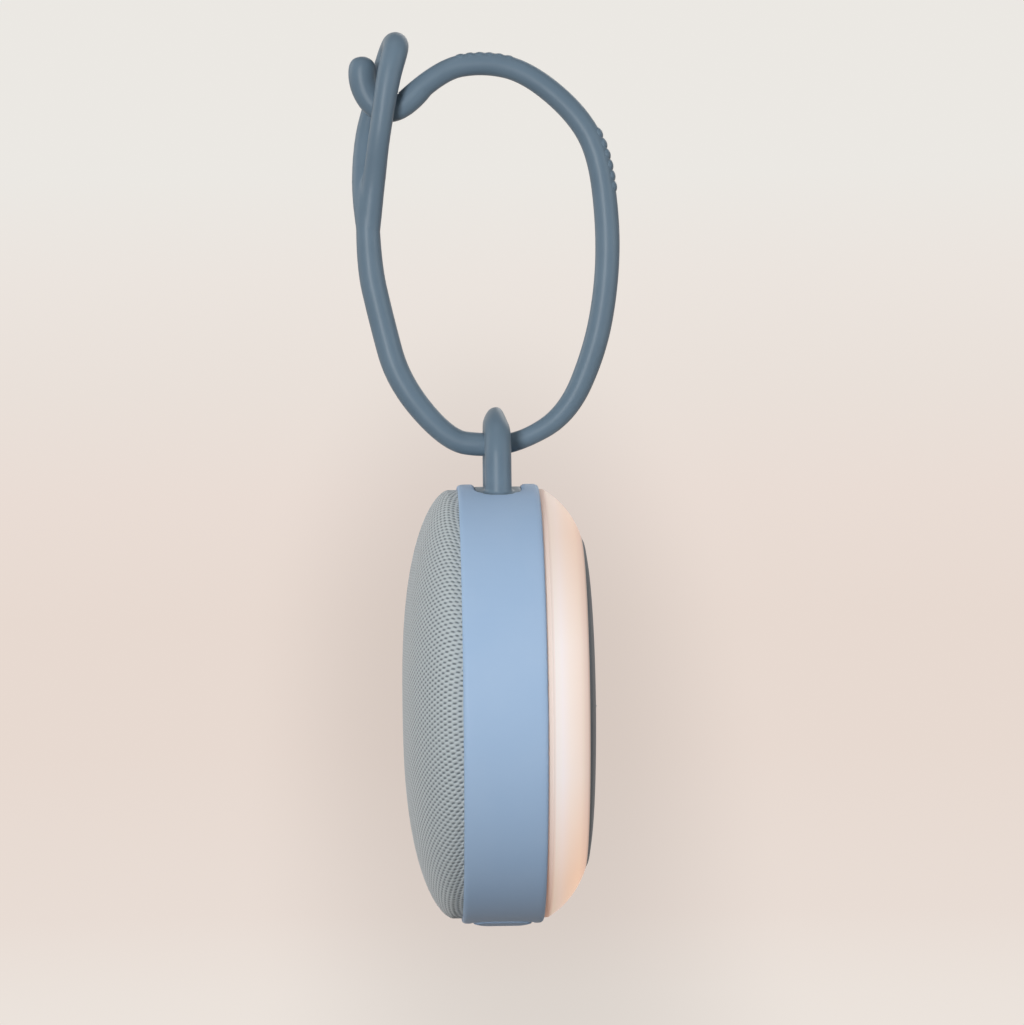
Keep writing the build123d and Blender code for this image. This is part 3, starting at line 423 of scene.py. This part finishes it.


# %% [markdown]
# ## The strap's route
# The strap is one length of silicone cord, moulded in a curve and hung from its top. It starts
# at its eyelet on the left, hangs down, passes under the arch of the disc's loop, climbs the
# other side and comes back over the top to the eyelet. A NURBS line led by a few listed
# points gives the smooth curve of rubber under its own weight. Each point also has a radius,
# because the rubber is drawn thinner where it is bent under the arch, and where it dips into the
# neck of its eyelet.

# %% Strap route
strap_route = [                 # y and z from the hang point
    (25.6, -24.8), (25.8, -36.9), (23.1, -49.2), (19.8, -62.0), (9.8, -73.9), (2.6, -74.9),
    (-4.6, -74.5), (-14.5, -68.8), (-20.2, -55.9), (-22.7, -43.1), (-23.2, -30.3),
    (-21.5, -15.8), (-16.8, -7.3), (-6.9, 1.0), (1.9, 3.0), (10.9, 1.4), (17.5, -4.9),
]
strap_radii = [
    2.28, 2.6, 2.6, 2.58, 2.25, 2.45, 1.8, 2.2, 2.46, 2.43, 2.52, 2.4, 2.4, 2.3, 2.32, 2.2, 2.42,
]


def smooth_line(name, points, radii, order=3, thickness=0.0):
    """A NURBS line led by (x, y, z) points in millimetres, with a radius at each."""
    curve = bpy.data.curves.new(name, "CURVE")
    curve.dimensions = "3D"
    curve.resolution_u = 12
    curve.bevel_depth = thickness * mm
    curve.bevel_resolution = 6
    curve.use_fill_caps = True
    spline = curve.splines.new("NURBS")
    spline.points.add(len(points) - 1)
    for knot, point, radius in zip(spline.points, points, radii):
        knot.co = (*(v * mm for v in point), 1.0)
        knot.radius = radius
    spline.order_u = order
    spline.use_endpoint_u = True
    line = bpy.data.objects.new(name, curve)
    scene.collection.objects.link(line)
    return line


def points_along(line):
    """The line's own points, read from the curve with no thickness."""
    bpy.context.view_layer.update()
    shaped = line.evaluated_get(bpy.context.evaluated_depsgraph_get())
    mesh = bpy.data.meshes.new_from_object(shaped)
    points = [vertex.co.copy() for vertex in mesh.vertices]
    bpy.data.meshes.remove(mesh)
    return points


strap_line = smooth_line("strap_line", [(0.0, y, z) for y, z in strap_route], strap_radii)
strap_path = points_along(strap_line)

# %% [markdown]
# ## The strap
# A cord is a round section carried along a path, which is what Curve to Mesh does. The rule
# first divides the line evenly, so that the faces are all about as long, then scales the
# section by the radius that each point of the route carries.

# %% Strap body
rule, given = new_rule("cord_along_a_line", Path="Object", Step="Float", Sides="Int", Finish="Material")
line = add_node(rule, "GeometryNodeObjectInfo", {"Object": given["Path"]}, transform_space="ORIGINAL")
even = add_node(rule, "GeometryNodeResampleCurve", {"Curve": line.outputs["Geometry"],
                                                    "Length": given["Step"]}, mode="LENGTH")
section = add_node(rule, "GeometryNodeCurvePrimitiveCircle", {"Resolution": given["Sides"],
                                                              "Radius": 1 * mm})
radius = add_node(rule, "GeometryNodeInputRadius")
tube = add_node(rule, "GeometryNodeCurveToMesh", {"Curve": even.outputs[0],
                                                  "Profile Curve": section.outputs["Curve"],
                                                  "Scale": radius.outputs[0], "Fill Caps": True})
end_rule(rule, tube.outputs[0], given["Finish"])
strap = settle("strap_cord", grow("strap_cord", rule, Path=strap_line, Step=0.6 * mm, Sides=32,
                                  Finish=slate_silicone), "strap_assembly", "strap_silicone")
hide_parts("strap")

# %% [markdown]
# ## Ribs on the strap
# Two groups of six small ribs stand on the outside of the strap's top. They catch in the
# eyelet, so the strap stays at the length it is pulled to. Each rib is a flattened ball sunk in
# the cord, and the rule sets six of them along the path at one pitch, each turned with it.

# %% Ribs
rule, given = new_rule("ribs_on_a_cord", Path="Object", First="Float", Pitch="Float", Count="Int",
                       Sunk="Float", Size="Vector", Finish="Material")
line = add_node(rule, "GeometryNodeObjectInfo", {"Object": given["Path"]}, transform_space="ORIGINAL")
row = add_node(rule, "GeometryNodeMeshLine", {"Count": given["Count"]})
number = add_node(rule, "GeometryNodeInputIndex")
along = add_node(rule, "ShaderNodeMath", {0: number.outputs[0], 1: given["Pitch"], 2: given["First"]},
                 operation="MULTIPLY_ADD")
spot = add_node(rule, "GeometryNodeSampleCurve", {"Curves": line.outputs["Geometry"],
                                                  "Length": along.outputs[0]}, mode="LENGTH")
outward = add_node(rule, "ShaderNodeVectorMath", {0: (1.0, 0.0, 0.0), 1: spot.outputs["Tangent"]},
                   operation="CROSS_PRODUCT")
raised = add_node(rule, "ShaderNodeVectorMath", {0: outward.outputs[0], "Scale": given["Sunk"]},
                  operation="SCALE")
spot_out = add_node(rule, "ShaderNodeVectorMath", {0: spot.outputs["Position"], 1: raised.outputs[0]},
                    operation="ADD")
placed = add_node(rule, "GeometryNodeSetPosition", {"Geometry": row.outputs[0],
                                                    "Position": spot_out.outputs[0]})
turned = add_node(rule, "FunctionNodeAxesToRotation", {"Primary Axis": spot.outputs["Tangent"],
                                                       "Secondary Axis": outward.outputs[0]},
                  primary_axis="X", secondary_axis="Z")
ball = add_node(rule, "GeometryNodeMeshUVSphere", {"Segments": 20, "Rings": 12, "Radius": 1 * mm})
ribs = add_node(rule, "GeometryNodeInstanceOnPoints", {"Points": placed.outputs[0],
                                                       "Instance": ball.outputs[0],
                                                       "Rotation": turned.outputs[0],
                                                       "Scale": given["Size"]})
end_rule(rule, ribs.outputs[0], given["Finish"])

# Name, how far along the first rib stands, the pitch, and how far out its middle is.
rib_groups = [("strap_ribs_side", 125.4, 2.12, 1.8), ("strap_ribs_top", 158.6, 1.86, 1.45)]
rib_size = (1.45, 1.75, 1.0)    # half its length along the cord, its width and its height
for name, first, pitch, sunk in rib_groups:
    grown = grow(name, rule, Path=strap_line, First=first * mm, Pitch=pitch * mm, Count=6,
                 Sunk=sunk * mm, Size=rib_size, Finish=slate_silicone)
    settle(name, grown, "strap_assembly", "strap_silicone")

# %% [markdown]
# ## Soft mouldings
# The eyelet, the tail's knob and the loop are rubber: no edge on them is sharp, and branches
# flow into each other. Such a shape is easiest to make as thick strands that are fused by a
# voxel remesh, which also closes them, and then relaxed by a few rounds of smoothing.

# %% A helper for fused strands
def relaxed(name, group, body, slot, voxel, rounds):
    """Remesh a closed bmesh to one skin, smooth it, and settle it as a piece."""
    mesh = bpy.data.meshes.new(name)
    group.to_mesh(mesh)
    group.free()
    source = bpy.data.objects.new(name + "_source", mesh)
    scene.collection.objects.link(source)
    remesh = source.modifiers.new("fuse", "REMESH")
    remesh.mode = "VOXEL"
    remesh.voxel_size = voxel * mm
    relax = source.modifiers.new("relax", "SMOOTH")
    relax.factor = 0.5
    relax.iterations = rounds
    return settle(name, source, body, slot)


def fused(name, strands, body, slot, voxel=0.3, rounds=8):
    """Thick strands of (x, y, z, radius) points, fused to one relaxed skin."""
    group = bmesh.new()
    for number, strand in enumerate(strands):
        line = smooth_line(f"{name}_{number}", [point[:3] for point in strand],
                           [point[3] for point in strand], order=4, thickness=1.0)
        bpy.context.view_layer.update()
        shaped = line.evaluated_get(bpy.context.evaluated_depsgraph_get())
        skin = bpy.data.meshes.new_from_object(shaped)
        group.from_mesh(skin)
        bpy.data.meshes.remove(skin)
        bpy.data.objects.remove(line)
    bmesh.ops.remove_doubles(group, verts=group.verts, dist=0.001 * mm)
    bmesh.ops.recalc_face_normals(group, faces=group.faces)
    return relaxed(name, group, body, slot, voxel, rounds)


def eased(value, start, end):
    """0 before start, 1 after end, and smooth between."""
    share = min(max((value - start) / (end - start), 0.0), 1.0)
    return share * share * (3 - 2 * share)


# %% [markdown]
# ## The eyelet
# The strap's end splits into two legs that meet again in a rounded tip, like the eye of a
# needle, and the tail is pulled through between them. The eye is a little twisted low down, so
# from the side the far leg shows beside the near one, and straight again at its rounded tip.

# %% Eyelet
near_leg = [                    # x, y, z from the hang point, and the radius
    (0.0, 25.5, -32.0, 2.3), (-0.3, 25.15, -27.5, 2.5), (-0.8, 24.7, -23.5, 2.45),
    (-1.9, 24.05, -19.5, 2.35), (-3.8, 23.5, -15.0, 2.25), (-5.1, 22.7, -10.0, 2.25),
    (-5.4, 21.9, -5.0, 2.35), (-5.3, 20.9, 1.0, 2.6), (-4.2, 19.3, 5.8, 2.65),
]
eye_tip = (0.0, 19.7, 7.0, 2.6)
far_leg = [
    (0.0, 25.6, -32.0, 2.3), (0.3, 26.0, -27.5, 2.5), (0.8, 26.4, -23.5, 2.45),
    (1.9, 26.5, -19.5, 2.35), (3.8, 26.3, -15.0, 2.25), (5.1, 25.6, -10.0, 2.25),
    (5.4, 24.0, -5.0, 2.3), (5.3, 22.2, 1.0, 2.45), (4.2, 20.6, 5.6, 2.55),
]
eye_neck = [(0.0, 25.75, -32.0, 2.3), (0.0, 25.65, -30.0, 2.5), (0.0, 25.5, -26.0, 2.7),
            (0.0, 25.35, -22.5, 2.5), (0.0, 25.2, -20.5, 1.8)]
eyelet = fused("strap_eye", [near_leg + [eye_tip] + far_leg[::-1], eye_neck], "strap_assembly",
               "strap_silicone", rounds=14)
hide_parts("strap_eyelet")

# %% [markdown]
# ## The tail
# Past the eyelet the cord turns up and ends in a blunt round knob, which keeps it from slipping
# back through the eye.

# %% Tail and knob
tail = [
    (0.0, 12.4, -0.4, 1.9), (0.0, 14.4, -2.4, 2.35), (0.0, 16.4, -4.5, 2.5),
    (0.0, 20.3, -7.2, 2.5), (0.0, 24.1, -6.2, 2.55), (0.0, 26.2, -2.3, 2.75),
    (0.0, 26.5, 0.4, 2.88), (0.0, 26.4, 2.0, 2.85), (0.0, 26.3, 3.2, 2.5),
    (0.0, 26.2, 4.1, 1.5), (0.0, 26.2, 4.3, 0.1),
]
knob = fused("strap_tail", [tail], "strap_assembly", "strap_silicone")
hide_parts("strap_knob")
bpy.data.objects.remove(strap_line)

# %% [markdown]
# ## The hang loop
# The loop is the one part of the disc that the strap pulls on. It is moulded with its plug in
# one piece, and its roots flow into the plug. The solid's shape is right but its edges are
# sharp, so a copy is merged, fused to one skin and relaxed, which rounds every corner by about
# a voxel. Then the top of the arch is drawn a little narrower, as the pull of the strap does.

# %% Hang loop
def softened(name, node, body, slot, voxel=0.3, rounds=6):
    """A copy of a frame piece with its edges relaxed, as on moulded rubber."""
    group = bmesh.new()
    group.from_mesh(frame["nodes"][node].data)
    bmesh.ops.remove_doubles(group, verts=group.verts, dist=0.002 * mm)
    piece = relaxed(name, group, body, slot, voxel, rounds)
    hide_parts(node)
    return piece


loop = softened("loop_arch", "hang_loop", "case", "strap_silicone")
arch_top = -67.5                # the top of the arch, from the hang point
plug_top = -82.0
for vertex in loop.data.vertices:
    y, z = vertex.co.y / mm, vertex.co.z / mm
    if y < 0:                   # the strap pulls this flank in
        y *= 1 - 0.33 * eased(z, arch_top - 5.5, arch_top)
    else:
        y *= 1 - 0.08 * eased(z, arch_top - 2.5, arch_top)
    crown = min(abs(y - 0.25) / 2.3, 1.0) ** 4
    drop = (0.5 + 0.6 * crown) * eased(z, arch_top - 4.0, arch_top + 0.5)
    if z < plug_top:            # the plug's rim fills its pocket
        y += math.copysign(0.5, y) * eased(abs(y), 3.2, 4.2)
    vertex.co.y, vertex.co.z = y * mm, (z - drop) * mm

# %% [markdown]
# ## The belt
# The belt is one broad band of silicone round the case. Moulded rubber has no sharp edge, so
# the band, its pocket and the mouth of its port are relaxed in the same way.

# %% Belt
softened("belt_band", "belt", "case", "belt_silicone", voxel=0.45, rounds=4)

# %% [markdown]
# ## The port cover
# At the disc's lowest point a flap of the belt's own silicone closes the charging port. It is
# softened in the same way, and its outside is crowned across its width and along its length.

# %% Port cover
flap = softened("port_flap", "port_cover", "cover_flap", "belt_silicone", voxel=0.2, rounds=5)
flap_half_width, flap_half_length = 5.9, 8.5
flap_crown = 0.55               # how much lower its outer face is at its rim
for vertex in flap.data.vertices:
    x, y, z = vertex.co.x / mm, vertex.co.y / mm, vertex.co.z / mm - axis_height
    reach = math.hypot(x, z)
    across = min(abs(y) / flap_half_width, 1.0) ** 4
    along = min(abs(x) / flap_half_length, 1.0) ** 3
    outside = eased(reach, belt_radius - 1.6, belt_radius + 0.2)
    drop = flap_crown * max(across, along) * outside
    vertex.co.x -= x / reach * drop * mm
    vertex.co.z -= z / reach * drop * mm

# %% [markdown]
# ## Marks on the keys
# Fine raised lines tell the keys apart by touch: a plus and a minus for the volume, a ring with
# a stroke for on and off, and a lamp with rays for the light. The rays are one short bar that a
# rule sets round a circle.

# %% Marks on the keys
rule, given = new_rule("bars_round_a_circle", Count="Int", Circle="Float", Length="Float",
                       Thickness="Float", Finish="Material")
circle = add_node(rule, "GeometryNodeMeshCircle", {"Vertices": given["Count"],
                                                   "Radius": given["Circle"]})
spot = add_node(rule, "GeometryNodeInputPosition")
outward = add_node(rule, "FunctionNodeAxesToRotation", {"Primary Axis": spot.outputs[0],
                                                        "Secondary Axis": (0.0, 0.0, 1.0)},
                   primary_axis="X", secondary_axis="Z")
bar = add_node(rule, "GeometryNodeMeshUVSphere", {"Segments": 12, "Rings": 8, "Radius": 1.0})
size = add_node(rule, "ShaderNodeCombineXYZ", {"X": given["Length"], "Y": given["Thickness"],
                                               "Z": given["Thickness"]})
bars = add_node(rule, "GeometryNodeInstanceOnPoints", {"Points": circle.outputs[0],
                                                       "Instance": bar.outputs[0],
                                                       "Rotation": outward.outputs[0],
                                                       "Scale": size.outputs[0]})
end_rule(rule, bars.outputs[0], given["Finish"])

mark_thickness = 0.22           # the radius of a raised line
mark_sunk = 0.08                # how deep its middle lies under the key's face


def key_middle(key):
    """The middle of a key's face, in millimetres, read from its solid."""
    corners = [vertex.co for vertex in frame["nodes"][key + "_button"].data.vertices]
    low = [min(corner[axis] for corner in corners) / mm for axis in range(3)]
    high = [max(corner[axis] for corner in corners) / mm for axis in range(3)]
    return (low[0] + high[0]) / 2, low[1] + mark_sunk, (low[2] + high[2]) / 2


def raised_lines(key, strokes):
    """Raised lines on a key. Each stroke is a list of (x, z) points from the key's middle."""
    x, y, z = key_middle(key)
    strands = [[(x + px, y, z + pz, mark_thickness) for px, pz in stroke] for stroke in strokes]
    return fused(key + "_mark", strands, key_bodies[key], "lens_plastic", voxel=0.09, rounds=2)


key_bodies = {key: key + "_key" for key in ("sound", "volume_up", "volume_down", "light")}


def arc(radius, turns):
    """Points on a circle at whole degrees, clockwise from its top."""
    return [(radius * math.sin(math.radians(turn)), radius * math.cos(math.radians(turn)))
            for turn in turns]


raised_lines("volume_up", [[(-1.5, 0.0), (-0.5, 0.0), (0.5, 0.0), (1.5, 0.0)],
                           [(0.0, -1.5), (0.0, -0.5), (0.0, 0.5), (0.0, 1.5)]])
raised_lines("volume_down", [[(-1.5, 0.0), (-0.5, 0.0), (0.5, 0.0), (1.5, 0.0)]])
raised_lines("sound", [arc(2.4, range(40, 321, 14)),
                       [(0.0, 0.6), (0.0, 1.4), (0.0, 2.2), (0.0, 3.0)]])
raised_lines("light", [arc(0.95, range(0, 381, 20))])
rays = settle("light_rays", grow("light_rays", rule, Count=8, Circle=1.95 * mm, Length=0.38 * mm,
                                 Thickness=mark_thickness * 0.8 * mm, Finish=finishes["lens_plastic"]),
              key_bodies["light"], "lens_plastic")
upright = Matrix.Rotation(math.pi / 2, 4, "X")
rays.data.transform(Matrix.Translation(Vector(key_middle("light")) * mm) @ upright)

# %% [markdown]
# ## The knitted cover
# The cover is one piece of cloth drawn over a dome. Its surface is turned from the dome's
# profile, and each point also gets its place on the flat cloth: as far from the middle as the
# cloth runs over the dome to reach it, in its own direction. The knit reads that map. Solidify
# gives the cloth its thickness, inwards.

# %% Knitted cover
cover_power, cover_squash = 2.6, 0.59   # a circle's dome would have 2 and 0.5
cover_rise, cover_straight = 9.8, 3.0   # the dome's height, and the straight edge below it
cover_start = seam_depth + cover_straight


def cover_profile(steps):
    """(radius, depth, run along the cloth) from the dome's middle to its edge."""
    line = []
    for step in range(steps + 1):
        share = math.sin(math.pi / 2 * step / steps)
        rise = cover_rise * (1 - share**cover_power) ** cover_squash
        line.append((rim_radius * share, cover_start + rise))
    line += [(rim_radius, cover_start - cover_straight * step / 8) for step in range(1, 9)]
    runs = [0.0]
    for a, b in zip(line, line[1:]):
        runs.append(runs[-1] + math.dist(a, b))
    return [(r, y, run) for (r, y), run in zip(line, runs)]


sides = 160
profile = cover_profile(60)
cloth = bmesh.new()
cloth_map = cloth.loops.layers.uv.new("cloth")
flat_place = {}
rows = []
for r, y, run in profile[1:]:
    row = []
    for side in range(sides):
        turn = 2 * math.pi * side / sides
        x, z = math.cos(turn), math.sin(turn)
        corner = cloth.verts.new(Vector((r * x, y, axis_height + r * z)) * mm)
        flat_place[corner] = (0.5 + run * x / cloth_span, 0.5 + run * z / cloth_span)
        row.append(corner)
    rows.append(row)
middle = cloth.verts.new(Vector((0, profile[0][1], axis_height)) * mm)
flat_place[middle] = (0.5, 0.5)
for side in range(sides):
    cloth.faces.new((middle, rows[0][side], rows[0][side - 1]))
for inner, outer in zip(rows, rows[1:]):
    for side in range(sides):
        cloth.faces.new((inner[side - 1], inner[side], outer[side], outer[side - 1]))
for face in cloth.faces:
    for corner in face.loops:
        corner[cloth_map].uv = flat_place[corner.vert]
bmesh.ops.recalc_face_normals(cloth, faces=cloth.faces)
mesh = bpy.data.meshes.new("speaker_knit")
cloth.to_mesh(mesh)
cloth.free()
source = bpy.data.objects.new("speaker_knit_source", mesh)
scene.collection.objects.link(source)
outward = sum(polygon.normal.y * polygon.area for polygon in mesh.polygons) > 0
wall = source.modifiers.new("wall", "SOLIDIFY")
wall.thickness = 0.8 * mm
wall.offset = -1.0 if outward else 1.0
print("cloth run", round(profile[-1][2], 1), "mm, faces outward", outward)
cover = settle("speaker_knit", source, "case", "speaker_fabric")
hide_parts("fabric_cover")

# %% [markdown]
# ## Stage
# The object hangs in a plain pale studio: a round floor that sweeps up into a wall, so that
# there is no line behind the object from any side. Seen by the camera, the sweep shows its own
# colour, a warm grey that is pinker lower down, with a painted shadow dimming the wall behind
# the disc. It still takes the object's real shadow.

# %% Floor and wall
floor_height = -0.34            # in metres, as all sizes of the stage are
floor_radius, bend_radius, wall_height = 1.2, 1.2, 2.2
profile_points = [(0.0, floor_height), (floor_radius, floor_height)]
for step in range(1, 17):
    turn = math.pi / 2 * step / 16
    profile_points.append((floor_radius + bend_radius * math.sin(turn),
                           floor_height + bend_radius * (1 - math.cos(turn))))
profile_points.append((floor_radius + bend_radius, wall_height))
sweep = bmesh.new()
corners = [sweep.verts.new((r, 0, z)) for r, z in profile_points]
edges = [sweep.edges.new(pair) for pair in zip(corners, corners[1:])]
bmesh.ops.spin(sweep, geom=corners + edges, cent=(0, 0, 0), axis=(0, 0, 1), angle=2 * math.pi,
               steps=96, use_duplicate=False)
bmesh.ops.remove_doubles(sweep, verts=sweep.verts, dist=1e-5)
bmesh.ops.recalc_face_normals(sweep, faces=sweep.faces)
mesh = bpy.data.meshes.new("studio_sweep")
sweep.to_mesh(mesh)
sweep.free()
mesh.polygons.foreach_set("use_smooth", [True] * len(mesh.polygons))
studio = bpy.data.objects.new("studio_sweep", mesh)
scene.collection.objects.link(studio)

paper = bpy.data.materials.new("backdrop_paper")
paper.use_nodes = True
tree = paper.node_tree
tree.nodes.clear()
coords = add_node(tree, "ShaderNodeTexCoord")
place = add_node(tree, "ShaderNodeSeparateXYZ", {"Vector": coords.outputs["Object"]})
height = add_node(tree, "ShaderNodeMapRange", {"Value": place.outputs["Z"],
                                               "From Min": floor_height, "From Max": 0.30})
shade = ramp(tree, height.outputs["Result"], [
    (0.0, "EBE3DC"), (0.05, "E8DCD4"), (0.17, "E7D9D0"), (0.29, "E7D9D0"), (0.41, "E9DCD4"),
    (0.53, "E9E0D9"), (0.65, "EBE4DE"), (0.77, "EBE8E3"),
])
# A painted shadow: a faint dim spot on the wall behind the disc, standing in for its soft shadow.
flat = add_node(tree, "ShaderNodeVectorMath", {0: coords.outputs["Object"], 1: (0.0, 1.0, 0.6)},
                operation="MULTIPLY")
painted_shadow_reach = add_node(tree, "ShaderNodeVectorMath", {0: flat.outputs[0], 1: (0.0, -0.05, -0.124)},
                    operation="DISTANCE")
spot = add_node(tree, "ShaderNodeMapRange", {"Value": painted_shadow_reach.outputs["Value"], "From Min": 0.05,
                                             "From Max": 0.165, "To Min": 0.95, "To Max": 1.136},
                interpolation_type="SMOOTHSTEP")
matt = add_node(tree, "ShaderNodeBsdfDiffuse", {"Color": colour("524E4B")})
shown = add_node(tree, "ShaderNodeEmission", {"Color": shade, "Strength": spot.outputs["Result"]})
# The camera, gloss and clear plastic see the shown colour, and all other light meets the matt one.
light_path = add_node(tree, "ShaderNodeLightPath")
seen = light_path.outputs["Is Camera Ray"]
for kind in ("Is Glossy Ray", "Is Transmission Ray"):
    either = add_node(tree, "ShaderNodeMath", {0: seen, 1: light_path.outputs[kind]},
                      operation="MAXIMUM")
    seen = either.outputs[0]
share = add_node(tree, "ShaderNodeMath", {0: seen, 1: 0.88}, operation="MULTIPLY")
both = add_node(tree, "ShaderNodeMixShader", {"Fac": share.outputs[0], 1: matt.outputs[0],
                                              2: shown.outputs[0]})
add_node(tree, "ShaderNodeOutputMaterial", {"Surface": both.outputs[0]})
mesh.materials.append(paper)
print("stage reaches", floor_radius + bend_radius, "m out")

# %% [markdown]
# ## Light
# Five large soft lamps light the object at a plain level. The one in front is narrow, tall and
# strongest, and gives the belt its bright middle and darker ends. The others, above, behind and
# at both sides, are weak and keep every side readable. The sky adds its own even light from
# above the open sweep.

# %% Lamps and sky
def soft_box(name, place, target, width, height, power):
    """An area lamp that faces a point."""
    lamp = bpy.data.lights.new(name, "AREA")
    lamp.shape = "RECTANGLE"
    lamp.size = width
    lamp.size_y = height
    lamp.energy = power
    box = bpy.data.objects.new(name, lamp)
    scene.collection.objects.link(box)
    box.location = place
    box.rotation_euler = (Vector(target) - Vector(place)).to_track_quat("-Z", "Y").to_euler()


middle_point = (0.0, 0.0, -0.10)
soft_box("overhead", (-0.45, 0.1, 1.15), middle_point, 0.9, 0.9, 2.8)
soft_box("front", (-1.2, 0.42, -0.09), middle_point, 0.3, 0.8, 15.2)
soft_box("right", (-0.6, -1.1, 0.1), middle_point, 0.6, 0.8, 4.0)
soft_box("left", (0.35, 1.2, 0.4), middle_point, 0.8, 0.8, 4.0)
soft_box("back", (1.1, -0.5, 0.7), middle_point, 0.9, 0.9, 3.0)
print("lamps", len(bpy.data.lights))

world = bpy.data.worlds.new("sky")
scene.world = world
world.use_nodes = True
background = world.node_tree.nodes["Background"]
background.inputs["Color"].default_value = colour("F2F1EE")
background.inputs["Strength"].default_value = 0.22
scene.view_settings.view_transform = "Standard"
